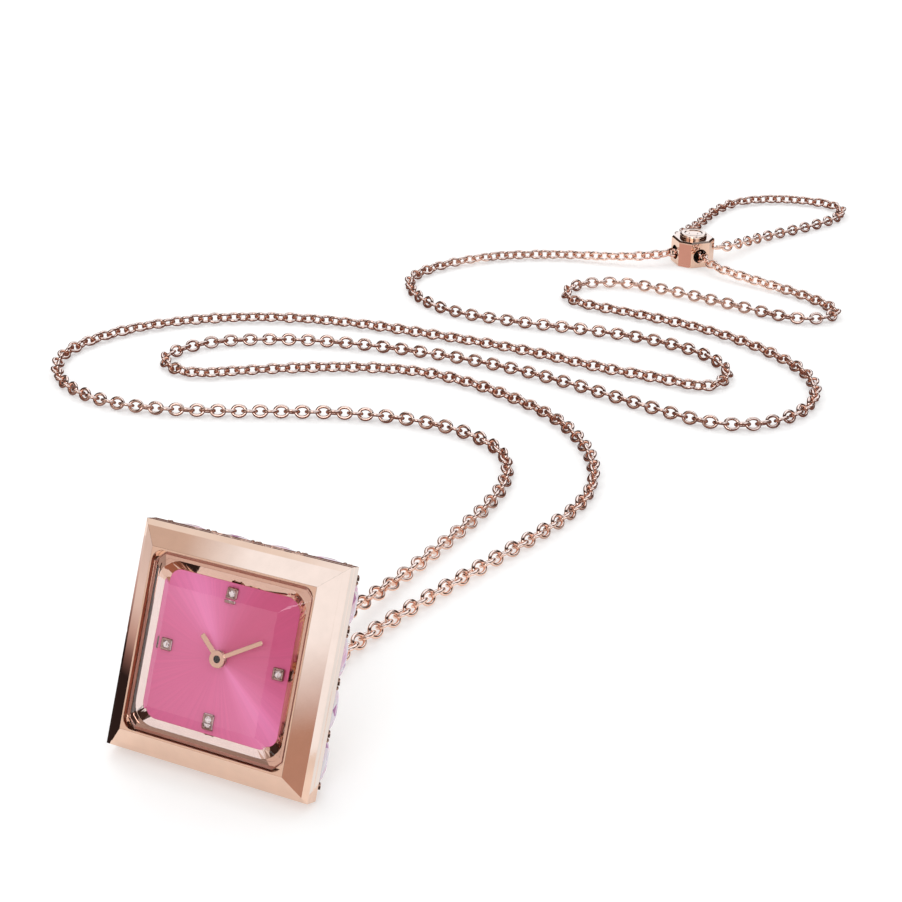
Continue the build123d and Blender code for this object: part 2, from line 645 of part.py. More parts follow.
def make_hour_hand():
    """The short hand on the hour wheel's pipe."""
    top = HOUR_HAND_BOTTOM + HAND_THICKNESS
    sizes = (HOUR_HAND_LENGTH, HOUR_HAND_WIDTH, HOUR_HAND_ANGLE, HOUR_HAND_BOTTOM)
    return make_hand(*sizes, HOUR_HUB_R, HOUR_PIPE_R, top)


def make_minute_hand():
    """The long hand on the cannon pinion, with its raised hub."""
    sizes = (MINUTE_HAND_LENGTH, MINUTE_HAND_WIDTH, MINUTE_HAND_ANGLE, MINUTE_HAND_BOTTOM)
    return make_hand(*sizes, MINUTE_HUB_R, CANNON_PIPE_R, HUB_TOP)


def make_centre_wheel():
    """The centre wheel with the arbor that carries the cannon pinion."""
    arbor = disc(CENTRE_ARBOR_R, BRIDGE_BOTTOM, CANNON_PIPE_TOP)
    return gear(CENTRE_TEETH, CENTRE_MODULE, CENTRE_WHEEL_LEVEL) + arbor


def make_cannon_pinion():
    """The pipe and pinion that turn once an hour under the minute hand."""
    part = gear(CANNON_TEETH, MOTION_MODULE, CANNON_PINION_LEVEL)
    pipe_start = CANNON_PINION_LEVEL[1]
    part += disc(CANNON_PIPE_R, pipe_start, CANNON_PIPE_TOP)
    return part - disc(CENTRE_ARBOR_R, CANNON_PINION_LEVEL[0] - OVERRUN, CANNON_PIPE_TOP + OVERRUN)


def minute_wheel_angle():
    """The tooth angle that meshes the minute wheel with the cannon pinion."""
    return meshed_angle(CANNON_TEETH, 0, MINUTE_WHEEL_DIRECTION, MINUTE_TEETH)


def make_minute_wheel():
    """The wheel and pinion between the cannon pinion and the hour wheel."""
    part = gear(MINUTE_TEETH, MOTION_MODULE, MINUTE_WHEEL_LEVEL, minute_wheel_angle(), MINUTE_PLACE)
    part += gear(MINUTE_PINION_TEETH, MOTION_MODULE, MINUTE_PINION_LEVEL, 0, MINUTE_PLACE)
    return part + disc(SMALL_ARBOR_R, PLATE_BOTTOM, MINUTE_PINION_LEVEL[1], *MINUTE_PLACE)


def make_hour_wheel():
    """The hour wheel and the pipe that carries the hour hand."""
    turned = meshed_angle(MINUTE_PINION_TEETH, 0, MINUTE_WHEEL_DIRECTION + 180, HOUR_TEETH)
    part = gear(HOUR_TEETH, MOTION_MODULE, HOUR_WHEEL_LEVEL, turned)
    part += disc(HOUR_PIPE_R, HOUR_WHEEL_LEVEL[0], HOUR_PIPE_TOP)
    bore = CANNON_PIPE_R + SHAFT_CLEARANCE
    return part - disc(bore, HOUR_WHEEL_LEVEL[0] - OVERRUN, HOUR_PIPE_TOP + OVERRUN)


def third_angles():
    """Tooth angles of the third pinion and the third wheel, in mesh with the centre wheel."""
    pinion = meshed_angle(CENTRE_TEETH, 0, THIRD_DIRECTION, THIRD_PINION_TEETH)
    return pinion, meshed_angle(INTERMEDIATE_PINION_TEETH, 0, INTERMEDIATE_DIRECTION + 180, THIRD_TEETH)


def make_third_wheel():
    """The third wheel on its pinion and arbor."""
    pinion_angle, wheel_angle = third_angles()
    part = gear(THIRD_TEETH, TRAIN_MODULE, THIRD_WHEEL_LEVEL, wheel_angle, THIRD_PLACE)
    part += gear(THIRD_PINION_TEETH, CENTRE_MODULE, THIRD_PINION_LEVEL, pinion_angle, THIRD_PLACE)
    return part + disc(SMALL_ARBOR_R, BRIDGE_BOTTOM, MOTION_FLOOR, *THIRD_PLACE)


def make_intermediate_wheel():
    """The intermediate wheel on its pinion and arbor."""
    wheel_angle = meshed_angle(ROTOR_TEETH, 0, ROTOR_DIRECTION + 180, INTERMEDIATE_TEETH)
    place = INTERMEDIATE_PLACE
    part = gear(INTERMEDIATE_TEETH, TRAIN_MODULE, INTERMEDIATE_WHEEL_LEVEL, wheel_angle, place)
    part += gear(INTERMEDIATE_PINION_TEETH, TRAIN_MODULE, INTERMEDIATE_PINION_LEVEL, 0, place)
    return part + disc(SMALL_ARBOR_R, BRIDGE_BOTTOM, MOTION_FLOOR, *place)


def make_rotor():
    """The magnet of the stepping motor with its pinion."""
    part = disc(ROTOR_MAGNET_R, *ROTOR_MAGNET_LEVEL, *ROTOR_PLACE)
    part += gear(ROTOR_TEETH, TRAIN_MODULE, ROTOR_PINION_LEVEL, 0, ROTOR_PLACE)
    return part + disc(SMALL_ARBOR_R, BRIDGE_BOTTOM, MOTION_FLOOR, *ROTOR_PLACE)


def arbor_holes():
    """Running holes for the arbors of the train."""
    places = (THIRD_PLACE, INTERMEDIATE_PLACE, ROTOR_PLACE, MINUTE_PLACE)
    small_r = SMALL_ARBOR_R + SHAFT_CLEARANCE
    holes = [small_hole(small_r, BRIDGE_BOTTOM - OVERRUN, DIAL_BOTTOM, *place) for place in places]
    centre_r = CENTRE_ARBOR_R + SHAFT_CLEARANCE
    return holes + [small_hole(centre_r, BRIDGE_BOTTOM - OVERRUN, DIAL_BOTTOM + OVERRUN)]


def make_main_plate():
    """The plate that carries the train, with pockets for the battery, coil and motion work."""
    plate = cut_block(PLATE_WIDTH / 2, PLATE_CORNER, PLATE_BOTTOM, DIAL_BOTTOM, PLATE_LENGTH / 2)
    for place in PILLAR_PLACES:
        plate += small_disc(PILLAR_R, BRIDGE_TOP, PLATE_BOTTOM, *place)
    clamp_level = BATTERY_TOP - BATTERY_HEIGHT
    plate += small_disc(CLAMP_POST_R, clamp_level, PLATE_BOTTOM, CLAMP_X, CLAMP_Y)
    battery_r = BATTERY_R + BATTERY_GAP
    plate -= disc(battery_r, PLATE_BOTTOM - OVERRUN, BATTERY_TOP, BATTERY_X, BATTERY_Y)
    coil_x = (-COIL_HALF_LENGTH - BATTERY_GAP, COIL_HALF_LENGTH + BATTERY_GAP)
    coil_y = (COIL_Y - COIL_R - BATTERY_GAP, COIL_Y + COIL_R + BATTERY_GAP)
    plate -= box_between(coil_x, coil_y, (PLATE_BOTTOM - OVERRUN, core_middle() + COIL_R + BATTERY_GAP))
    wall_r = MOTION_MODULE * HOUR_TEETH / 2 + MOTION_MODULE + MOTION_WALL_GAP
    plate -= disc(wall_r, MOTION_FLOOR, DIAL_BOTTOM + OVERRUN)
    plate -= disc(wall_r, MOTION_FLOOR, DIAL_BOTTOM + OVERRUN, *MINUTE_PLACE)
    for hole in arbor_holes():
        plate -= hole
    for place in PILLAR_PLACES:
        plate -= small_disc(SCREW_R, BRIDGE_BOTTOM, BRIDGE_BOTTOM + SCREW_LENGTH, *place)
    screw_end = clamp_level - CLAMP_THICKNESS + SCREW_LENGTH
    plate -= small_disc(SCREW_R, clamp_level - OVERRUN, screw_end, CLAMP_X, CLAMP_Y)
    return plate - stem_slot(PLATE_WIDTH / 2 + OVERRUN) - lever_recess()


def stem_slot(outer_half):
    """The slot on the dial side that the stem and its pinion lie in."""
    inner = STEM_END_HALF - MOTION_WALL_GAP
    z_range = (CROWN_DOWN - STEM_SLOT_HALF, DIAL_BOTTOM + OVERRUN)
    return box_between((-outer_half, -inner), (-STEM_SLOT_HALF, STEM_SLOT_HALF), z_range)


def lever_recess():
    """The shallow pocket that the setting lever swings in."""
    reach = LEVER_WIDTH / 2 + CROWN_TRAVEL + MOTION_WALL_GAP
    x_range = (LEVER_PEG_X - reach, LEVER_PEG_X + LEVER_WIDTH / 2 + MOTION_WALL_GAP)
    y_range = (-LEVER_WIDTH, LEVER_PIVOT_Y + LEVER_WIDTH / 2 + MOTION_WALL_GAP)
    pocket = box_between(x_range, y_range, (LEVER_RECESS, DIAL_BOTTOM + OVERRUN))
    pivot_r = LEVER_PEG_R + SHAFT_CLEARANCE
    return pocket + small_hole(pivot_r, LEVER_PEG_BOTTOM - FIT, DIAL_BOTTOM, LEVER_PEG_X, LEVER_PIVOT_Y)


def make_setting_lever():
    """The lever whose peg rides in the stem's neck."""
    y_range = (0, LEVER_PIVOT_Y)
    x_range = (LEVER_PEG_X - LEVER_WIDTH / 2, LEVER_PEG_X + LEVER_WIDTH / 2)
    lever = box_between(x_range, y_range, (LEVER_BOTTOM, LEVER_TOP))
    for y in y_range:
        lever += small_disc(LEVER_WIDTH / 2, LEVER_BOTTOM, LEVER_TOP, LEVER_PEG_X, y)
        lever += disc(LEVER_PEG_R, LEVER_PEG_BOTTOM, LEVER_BOTTOM, LEVER_PEG_X, y)
    return lever


def make_train_bridge():
    """The bridge over the train's lower pivots."""
    size = (BRIDGE_RIGHT - BRIDGE_LEFT, BRIDGE_BACK - BRIDGE_FRONT)
    middle = ((BRIDGE_RIGHT + BRIDGE_LEFT) / 2, (BRIDGE_BACK + BRIDGE_FRONT) / 2)
    outline = Pos(*middle) * chamfer(Rectangle(*size).vertices(), BRIDGE_CORNER)
    bridge = extrude(Plane.XY.offset(BRIDGE_BOTTOM) * outline, BRIDGE_TOP - BRIDGE_BOTTOM)
    level = (BRIDGE_BOTTOM - OVERRUN, BRIDGE_TOP + OVERRUN)
    bridge -= disc(BATTERY_R + 2 * BATTERY_GAP, *level, BATTERY_X, BATTERY_Y)
    for hole in arbor_holes():
        bridge -= hole
    for place in PILLAR_PLACES:
        bridge -= small_disc(SCREW_R, *level, *place)
    return bridge


def make_screw(x, y, seat):
    """A slotted screw whose head lies on a level, shank upwards."""
    head_bottom = seat - SCREW_HEAD_HEIGHT
    screw = small_disc(SCREW_HEAD_R, head_bottom, seat, x, y)
    screw += small_disc(SCREW_R, seat, seat + SCREW_LENGTH, x, y)
    slot_x = (x - SCREW_HEAD_R - OVERRUN, x + SCREW_HEAD_R + OVERRUN)
    slot_y = (y - SCREW_SLOT_WIDTH / 2, y + SCREW_SLOT_WIDTH / 2)
    return screw - box_between(slot_x, slot_y, (head_bottom - OVERRUN, head_bottom + SCREW_SLOT_DEPTH))


def make_movement_screws():
    """The bridge's three screws and the clamp's one."""
    screws = [make_screw(*place, BRIDGE_BOTTOM) for place in PILLAR_PLACES]
    clamp_under = BATTERY_TOP - BATTERY_HEIGHT - CLAMP_THICKNESS
    return Compound(screws + [make_screw(CLAMP_X, CLAMP_Y, clamp_under)])


def core_middle():
    """The level of the coil core's middle."""
    return STATOR_LEVEL[0] - CORE_THICKNESS / 2


def make_stator():
    """The stator plate around the rotor, with two arms up to the coil core."""
    limits = (-STATOR_HALF_WIDTH, STATOR_HALF_WIDTH)
    inner = STATOR_HALF_WIDTH - STATOR_ARM
    plate = box_between((-inner, inner), (STATOR_FRONT, STATOR_WAIST), STATOR_LEVEL)
    for side in (-1, 1):
        x_range = sorted((side * inner, side * STATOR_HALF_WIDTH))
        plate += box_between(x_range, (STATOR_WAIST - STATOR_ARM, STATOR_BACK), STATOR_LEVEL)
    level = (STATOR_LEVEL[0] - OVERRUN, STATOR_LEVEL[1] + OVERRUN)
    plate -= disc(STATOR_BORE_R, *level, *ROTOR_PLACE)
    plate -= small_hole(2 * SMALL_ARBOR_R, *level, *INTERMEDIATE_PLACE)
    slot_x = (ROTOR_PLACE[0] - STATOR_SLOT / 2, ROTOR_PLACE[0] + STATOR_SLOT / 2)
    plate -= box_between(slot_x, (ROTOR_PLACE[1], STATOR_WAIST + OVERRUN), level)
    return plate & box_between(limits, (STATOR_FRONT, STATOR_BACK), level)


def make_coil_core():
    """The flat bar that the coil is wound on."""
    y_range = (COIL_Y - CORE_WIDTH / 2, COIL_Y + CORE_WIDTH / 2)
    z_range = (STATOR_LEVEL[0] - CORE_THICKNESS, STATOR_LEVEL[0])
    return box_between((-CORE_HALF_LENGTH, CORE_HALF_LENGTH), y_range, z_range)


def make_coil():
    """The coil's winding around its core."""
    winding = Pos(0, COIL_Y, core_middle()) * Rot(0, 90, 0) * Cylinder(COIL_R, 2 * COIL_HALF_LENGTH)
    return winding - make_coil_core()


def make_circuit_board():
    """The board under the main plate."""
    level = (PLATE_BOTTOM - BOARD_THICKNESS, PLATE_BOTTOM)
    return box_between((BOARD_LEFT, BOARD_RIGHT), (BOARD_FRONT, BOARD_BACK), level)


def make_chip():
    """The chip that times and drives the motor."""
    under = PLATE_BOTTOM - BOARD_THICKNESS - CHIP_HEIGHT / 2
    return Pos(CHIP_X, CHIP_Y, under) * Box(CHIP_SIDE, CHIP_SIDE, CHIP_HEIGHT)


def make_quartz_can():
    """The sealed can of the quartz crystal, lying on the board."""
    under = PLATE_BOTTOM - BOARD_THICKNESS - QUARTZ_R
    return Pos(QUARTZ_X, QUARTZ_Y, under) * Rot(0, 90, 0) * Cylinder(QUARTZ_R, QUARTZ_LENGTH)


def make_battery():
    """A button cell with its sloped rim."""
    cell = disc(BATTERY_R, BATTERY_TOP - BATTERY_HEIGHT, BATTERY_TOP, BATTERY_X, BATTERY_Y)
    return chamfer(cell.faces().sort_by(Axis.Z)[-1].edges(), BATTERY_STEP)


def make_battery_clamp():
    """The spring strip across the battery."""
    top = BATTERY_TOP - BATTERY_HEIGHT
    level = (top - CLAMP_THICKNESS, top)
    y_range = (CLAMP_Y - CLAMP_WIDTH / 2, CLAMP_Y + CLAMP_WIDTH / 2)
    strip = box_between((CLAMP_X, CLAMP_REACH), y_range, level)
    strip += small_disc(CLAMP_WIDTH / 2, *level, CLAMP_X, CLAMP_Y)
    return strip - small_disc(SCREW_R, level[0] - OVERRUN, level[1] + OVERRUN, CLAMP_X, CLAMP_Y)


def make_movement_holder():
    """The plastic frame that centres the movement in the case."""
    outer = cut_block(FLANGE_HALF, FLANGE_CORNER, HOLDER_BOTTOM, DIAL_BOTTOM)
    low = HOLDER_BOTTOM - OVERRUN
    high = DIAL_BOTTOM + OVERRUN
    outer -= cut_block(PLATE_WIDTH / 2 + FIT, PLATE_CORNER, low, high, PLATE_LENGTH / 2 + FIT)
    return outer - stem_slot(FLANGE_HALF + OVERRUN)


def make_crown():
    """The small fluted crown, flush with the wall."""
    outline = fluted_outline(CROWN_FLUTES, CROWN_R, CROWN_FLUTE_DEPTH)
    crown = extrude(side_plane(CROWN_FACE_HALF) * outline, CROWN_LENGTH)
    return crown - side_disc(CROWN_CAVITY_R, CROWN_FACE_HALF - CROWN_WEB, CROWN_INNER_HALF - OVERRUN)


def make_stem():
    """The winding stem with the neck that the setting lever's peg rides in."""
    stem = side_disc(STEM_R, CROWN_FACE_HALF - CROWN_WEB, STEM_END_HALF)
    neck_half = LEVER_PEG_R + FIT
    outer = -LEVER_PEG_X + neck_half
    inner = -LEVER_PEG_X - neck_half
    return stem - side_disc(STEM_R + OVERRUN, outer, inner) + side_disc(STEM_NECK_R, outer, inner)


def make_sliding_pinion():
    """The pinion near the stem's inner end."""
    outer = STEM_END_HALF + SLIDING_PINION_LENGTH
    outline = fluted_outline(SLIDING_PINION_TEETH, SLIDING_PINION_R, SLIDING_PINION_TOOTH)
    pinion = extrude(side_plane(outer) * outline, SLIDING_PINION_LENGTH)
    return pinion - side_disc(STEM_R, outer + OVERRUN, STEM_END_HALF - OVERRUN)


def make_crown_tube():
    """The tube pressed into the case wall."""
    return small_side_ring(TUBE_R, TUBE_BORE_R, TUBE_END_HALF, TUBE_END_HALF - CAVITY_HALF)


def make_crown_gasket():
    """The ring inside the crown that seals on the tube."""
    outer = CROWN_INNER_HALF + RING_LENGTH
    return small_side_ring(RING_R, TUBE_R + SHAFT_CLEARANCE, outer, RING_LENGTH)


def make_back_cover():
    """The pressed-in cover with its plug ring, a back that slopes to a flat middle, and a pry notch."""
    cover = cut_block(COVER_HALF, COVER_CORNER, COVER_REAR, COVER_SEAT_DOWN)
    slope = frustum(COVER_FLAT_HALF, COVER_REAR, COVER_HALF, REAR_DOWN)
    cover &= slope + frustum(COVER_HALF, REAR_DOWN, COVER_HALF, COVER_SEAT_DOWN)
    plug = cut_block(COVER_PLUG_HALF, COVER_CORNER, COVER_SEAT_DOWN, HOLDER_BOTTOM)
    plug_inner_half = COVER_PLUG_HALF - COVER_PLUG_WALL
    cover += plug - cut_block(plug_inner_half, COVER_CORNER, COVER_SEAT_DOWN, HOLDER_BOTTOM + OVERRUN)
    notch_x = (-COVER_NOTCH_WIDTH / 2, COVER_NOTCH_WIDTH / 2)
    notch_y = (-COVER_HALF - OVERRUN, COVER_NOTCH_DEPTH - COVER_HALF)
    return cover - box_between(notch_x, notch_y, (COVER_REAR - OVERRUN, REAR_DOWN + COVER_NOTCH_RISE))


def make_back_gasket():
    """The square seal around the cover's plug."""
    level = (COVER_SEAT_DOWN, COVER_SEAT_DOWN + BACK_GASKET_HEIGHT)
    ring = cut_block(CAVITY_HALF - FIT / 2, CAVITY_CORNER, *level)
    return ring - cut_block(COVER_PLUG_HALF + FIT / 2, COVER_CORNER, level[0] - OVERRUN, level[1] + OVERRUN)


def place_case(shape):
    """Stands a piece of the case up as it leans in the photograph."""
    return Location((0, CASE_CENTRE_BACK, CASE_CENTRE_UP), (90 - CASE_LEAN, 0, 0)) * shape


def hinge_point():
    """The middle of the bail's pin, where it stands."""
    lean = radians(CASE_LEAN)
    back = HINGE_Y * sin(lean) - HINGE_DOWN * cos(lean)
    up = HINGE_Y * cos(lean) + HINGE_DOWN * sin(lean)
    return (0, CASE_CENTRE_BACK + back, CASE_CENTRE_UP + up)


def make_bail_pin():
    """The pin through both knuckles and the bail's barrel."""
    half = BAIL_HALF + BAIL_WIRE_R + BAIL_BARREL_GAP + KNUCKLE_WIDTH
    return Pos(*hinge_point()) * Rot(0, 90, 0) * Cylinder(PIN_R, 2 * half)


def make_bail():
    """The loop that hangs from the pin behind the case."""
    half = BAIL_HALF + BAIL_WIRE_R
    barrel = Rot(0, 90, 0) * Cylinder(BAIL_BARREL_R, 2 * half)
    corner = BAIL_HALF / 2
    leg_top = -(BAIL_BARREL_R + PIN_R) / 2
    path = FilletPolyline((-BAIL_HALF, 0, leg_top), (-BAIL_HALF, 0, -BAIL_DROP), (BAIL_HALF, 0, -BAIL_DROP),
                          (BAIL_HALF, 0, leg_top), radius=corner)
    section = RegularPolygon(BAIL_WIRE_R, BAIL_WIRE_SIDES)
    loop = sweep(Plane(path @ 0, z_dir=path % 0) * section, path)
    bore = Rot(0, 90, 0) * Cylinder(PIN_R + SHAFT_CLEARANCE, 2 * half + OVERRUN)
    return Pos(*hinge_point()) * (barrel - bore + loop)


def make_jump_rings():
    """The two rings that tie the chain's ends to the bail."""
    _, back, up = hinge_point()
    section = Pos(JUMP_RING_R, 0) * RegularPolygon(JUMP_WIRE_R, JUMP_WIRE_SIDES)
    ring = Rot(0, 90, 0) * revolve(Plane.XZ * section, Axis.Z)
    centre_up = up - BAIL_DROP - JUMP_RING_SAG
    return Compound([Pos(side * JUMP_RING_X, back, centre_up) * ring for side in (-1, 1)])


def chain_section(radius):
    """The chain's section, with a flat underneath."""
    return RegularPolygon(radius, CHAIN_SIDES, major_radius=False)


def make_strand(name, points):
    """A tube along one stretch of chain: straight runs joined by arcs."""
    corners = [Vector(*point) for point in points]
    radii = []
    for before, corner, after in zip(corners, corners[1:], corners[2:]):
        turn = (corner - before).get_angle(after - corner)
        shorter = min((corner - before).length, (after - corner).length)
        radii.append(ARC_SHARE * shorter / tan(radians(turn) / 2))
    path = FilletPolyline(*corners, radius=radii)
    sideways = (path % 0).cross(Vector(0, 0, 1))
    section = chain_section(CHAIN_D / 2)
    tube = sweep(Plane(path @ 0, x_dir=sideways, z_dir=path % 0) * section, path)
    print(name, "length", round(path.length, 1), "tightest", round(min(radii), 2), end=" ")
    print("volume share", round(tube.volume / (path.length * section.area), 4))
    return tube


def bead_outline(half, corner_cut):
    """The bead's eight-sided outline."""
    return chamfer(Rectangle(2 * half, 2 * half).vertices(), corner_cut)


def bead_block(half, corner_cut, low, high):
    """An eight-sided block of the bead."""
    return extrude(Plane.XY.offset(low) * bead_outline(half, corner_cut), high - low)


def place_bead(shape):
    """Puts a piece of the bead where it lies on the chain."""
    return Pos(BEAD_X, BEAD_Y, 0) * Rot(0, 0, BEAD_TURN) * shape


def bead_holes(radius, start_half):
    """Straight holes from the four main faces inwards."""
    end_half = BEAD_HALF + OVERRUN
    middle = (end_half + start_half) / 2
    hole = Pos(middle, 0, BEAD_HOLE_UP) * Rot(0, 90, 0) * Cylinder(radius, end_half - start_half)
    return [Rot(0, 0, 360 / SIDES * side) * hole for side in range(SIDES)]


def make_bead_shell():
    """The eight-sided metal shell, holed on its four main faces."""
    shell = bead_block(BEAD_HALF, BEAD_CORNER_CUT, BEAD_BASE, BEAD_TOP)
    shell = chamfer(shell.faces().sort_by(Axis.Z)[-1].edges(), BEAD_EDGE)
    inner_half = BEAD_HALF - BEAD_WALL
    inner_cut = BEAD_CORNER_CUT - BEAD_WALL / 2
    shell -= bead_block(inner_half, inner_cut, BEAD_BASE - OVERRUN, BEAD_TOP - BEAD_WALL)
    for hole in bead_holes(BEAD_HOLE_R, BEAD_HALF / 2):
        shell -= hole
    return place_bead(shell)


def make_bead_core():
    """The soft core that grips both strands in its curved channels."""
    half = BEAD_HALF - BEAD_WALL - CORE_CLEARANCE
    corner_cut = BEAD_CORNER_CUT - BEAD_WALL / 2
    core = bead_block(half, corner_cut, BEAD_BASE, BEAD_TOP - BEAD_WALL - CORE_CLEARANCE)
    channel = chain_section(CHAIN_D / 2 + CORE_CLEARANCE)
    ring = revolve(Plane.XZ * Pos(BEAD_HALF, 0) * channel, Axis.Z)
    for corner in (-1, 1):
        core -= Pos(corner * BEAD_HALF, -corner * BEAD_HALF, BEAD_HOLE_UP) * ring
    return place_bead(core)


def make_bead_base():
    """The plate that closes the bead's underside."""
    base = bead_block(BEAD_HALF, BEAD_CORNER_CUT, 0, BEAD_BASE)
    return place_bead(chamfer(base.faces().sort_by(Axis.Z)[0].edges(), BEAD_EDGE / 2))


def make_bead_cap():
    """The raised disc on the bead."""
    cap = disc(BEAD_CAP_R, BEAD_TOP, BEAD_CAP_TOP)
    return place_bead(chamfer(cap.faces().sort_by(Axis.Z)[-1].edges(), BEAD_CAP_EDGE))


CASE_PIECES = {
    "bezel": make_bezel, "case_frame": make_case_frame, "case_stones": make_case_stones,
    "crystal": make_crystal, "crystal_gasket": make_crystal_gasket, "flange_ring": make_flange_ring,
    "dial": make_dial, "marker_settings": make_marker_settings, "marker_stones": make_marker_stones,
    "hour_hand": make_hour_hand, "minute_hand": make_minute_hand, "centre_wheel": make_centre_wheel,
    "cannon_pinion": make_cannon_pinion, "minute_wheel": make_minute_wheel, "hour_wheel": make_hour_wheel,
    "third_wheel": make_third_wheel, "intermediate_wheel": make_intermediate_wheel, "rotor": make_rotor,
    "main_plate": make_main_plate, "train_bridge": make_train_bridge, "movement_screws": make_movement_screws,
    "stator": make_stator, "coil_core": make_coil_core, "coil": make_coil,
    "circuit_board": make_circuit_board, "timing_chip": make_chip, "quartz_can": make_quartz_can,
    "battery": make_battery, "battery_clamp": make_battery_clamp, "movement_holder": make_movement_holder,
    "crown": make_crown, "stem": make_stem, "sliding_pinion": make_sliding_pinion,
    "setting_lever": make_setting_lever, "crown_tube": make_crown_tube, "crown_gasket": make_crown_gasket,
    "back_cover": make_back_cover, "back_gasket": make_back_gasket,
}
STANDING_PIECES = {
    "bail": make_bail, "bail_pin": make_bail_pin, "jump_rings": make_jump_rings,
    "slider_shell": make_bead_shell, "slider_core": make_bead_core, "slider_base": make_bead_base,
    "slider_cap": make_bead_cap,
}
STRANDS = {"chain_left": LEFT_STRAND, "chain_right": RIGHT_STRAND, "chain_end_loop": END_LOOP}

pieces = {name: place_case(make()) for name, make in CASE_PIECES.items()}
pieces.update({name: make() for name, make in STANDING_PIECES.items()})
pieces.update({name: make_strand(name, points) for name, points in STRANDS.items()})
for name, shape in pieces.items():
    export_step(shape, f"parts/{name}.step")
    box = shape.bounding_box()
    print(name, "solids", len(shape.solids()), "box", box.min, box.max)
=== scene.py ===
# Scene of a square pendant watch that leans on a white table, its chain in loose curves behind it.
# Metres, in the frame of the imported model. Pieces of the case are drawn in the dial's own frame:
# +X to 3 o'clock, +Y to 12 o'clock, +Z out of the dial, with zero at the outer edge of the front bevel.
import random
from math import copysign, cos, pi, radians, sin, sqrt, tau

import bmesh
import bpy
from mathutils import Matrix, Vector


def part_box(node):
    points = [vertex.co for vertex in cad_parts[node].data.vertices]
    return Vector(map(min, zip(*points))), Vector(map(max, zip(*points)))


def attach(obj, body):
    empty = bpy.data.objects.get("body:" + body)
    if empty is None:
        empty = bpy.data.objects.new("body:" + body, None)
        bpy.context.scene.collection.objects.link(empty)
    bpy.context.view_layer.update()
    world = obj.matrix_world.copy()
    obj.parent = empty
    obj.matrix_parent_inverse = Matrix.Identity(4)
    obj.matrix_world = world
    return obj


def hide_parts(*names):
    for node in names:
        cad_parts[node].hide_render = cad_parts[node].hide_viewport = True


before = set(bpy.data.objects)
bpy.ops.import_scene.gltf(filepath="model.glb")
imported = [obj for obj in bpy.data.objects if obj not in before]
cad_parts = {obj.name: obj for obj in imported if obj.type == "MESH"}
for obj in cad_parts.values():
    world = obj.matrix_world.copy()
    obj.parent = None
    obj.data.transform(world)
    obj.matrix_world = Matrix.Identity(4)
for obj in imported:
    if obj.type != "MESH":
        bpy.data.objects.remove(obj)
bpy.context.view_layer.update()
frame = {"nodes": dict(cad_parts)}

# Camera
CAMERA_PLACE = (0.08906, -0.13365, 0.11743)
CAMERA_TURN = (radians(63.30), 0, radians(25.11))
CAMERA_LENS = 68.0
CAMERA_SENSOR = 36.0
CAMERA_CLIP = 0.001

# How the case stands
CASE_LEAN = radians(25.88)
CASE_CENTRE = Vector((0, -0.0025, 0.013286))
CASE_PLACE = Matrix.Translation(CASE_CENTRE) @ Matrix.Rotation(pi / 2 - CASE_LEAN, 4, "X")
DIAL_RIGHT = Vector((1, 0, 0))
DIAL_UP = Vector((0, sin(CASE_LEAN), cos(CASE_LEAN)))

# Shoulder with the stones
CASE_HALF = 0.0130
REAR_HALF = 0.0116
SHOULDER_TOP = -0.00245
SHOULDER_BOTTOM = -0.0049
SIDES = 4
STONES_PER_SIDE = 4
STONE_PITCH = 0.0058
STONE_LENGTH = 0.0052
STONE_WIDTH = 0.0022
STONE_STEPS = 12
STONE_ROUNDNESS = 2.8
STONE_RINGS = ((1.0, -0.00028), (1.0, 0.00004), (0.74, 0.00038), (0.42, 0.00058))
PRONG_R = 0.00027
PRONG_SHARE = 0.47
GRAIN_STEPS = 10
GRAIN_LEVELS = 5

# Sloping ring between the glass and the dial: half sizes, corner radii and top
DIAL_TOP = -0.0006
RING_FOOT_HALF = 0.0080
RING_FOOT_CORNER = 0.0012
RING_TOP_HALF = 0.00915
RING_TOP_CORNER = 0.00235
RING_OUTER_HALF = 0.0102
RING_OUTER_CUT = 0.0012
RING_TOP = 0.00015
RING_STEPS = 160
RING_ROWS = 4

# Opening for the glass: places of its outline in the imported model, and how far out it is drawn
OPENING_REACH = (0.0094, 0.0100)
OPENING_FOOT = 0.0004
OPENING_SHARE = 1.030
GLASS_EDGE_TOP = 0.0012
GLASS_SHARE = 1.033
GASKET_REACH = 0.0095
GASKET_INNER_SHARE = 1.04

# Hour markers
MARKER_RADIUS = 0.00685
MARKER_SIDE = 0.00137
MARKER_HEIGHT = 0.00035
MARKER_STEPS = 32
MARKER_SEAT_R = 0.00045
MARKER_PRONG_R = 0.00013
MARKER_PRONG_PLACE = MARKER_SIDE * 0.31
COLLET_EDGE_SHARE = 0.8
COLLET_TOP_SHARE = 0.9
COLLET_SEAT_SHARE = 0.8
COLLET_FLOOR_SHARE = 0.2
BRILLIANT_STEPS = 8
BRILLIANT_RINGS = ((0.00040, 0.00010), (0.00044, 0.00026), (0.00034, 0.00036), (0.00024, 0.00040))

# Chain
LINK_PITCH = 0.00169
LINK_HALF_LENGTH = 0.00109
LINK_HALF_WIDTH = 0.00087
LINK_WIRE_R = 0.00027
LINK_STEPS = 20
WIRE_STEPS = 10
LINK_TILT = radians(30)
LINK_LOOSENESS = radians(8)
LINE_RESOLUTION = 16
LINE_ORDER = 3
CHAIN_SEED = 4

# Bail and the rings that tie the chain to it
JUMP_RING_R = 0.00175
JUMP_WIRE_R = 0.00025
JUMP_RING_X = 0.00125
JUMP_STEPS = 40

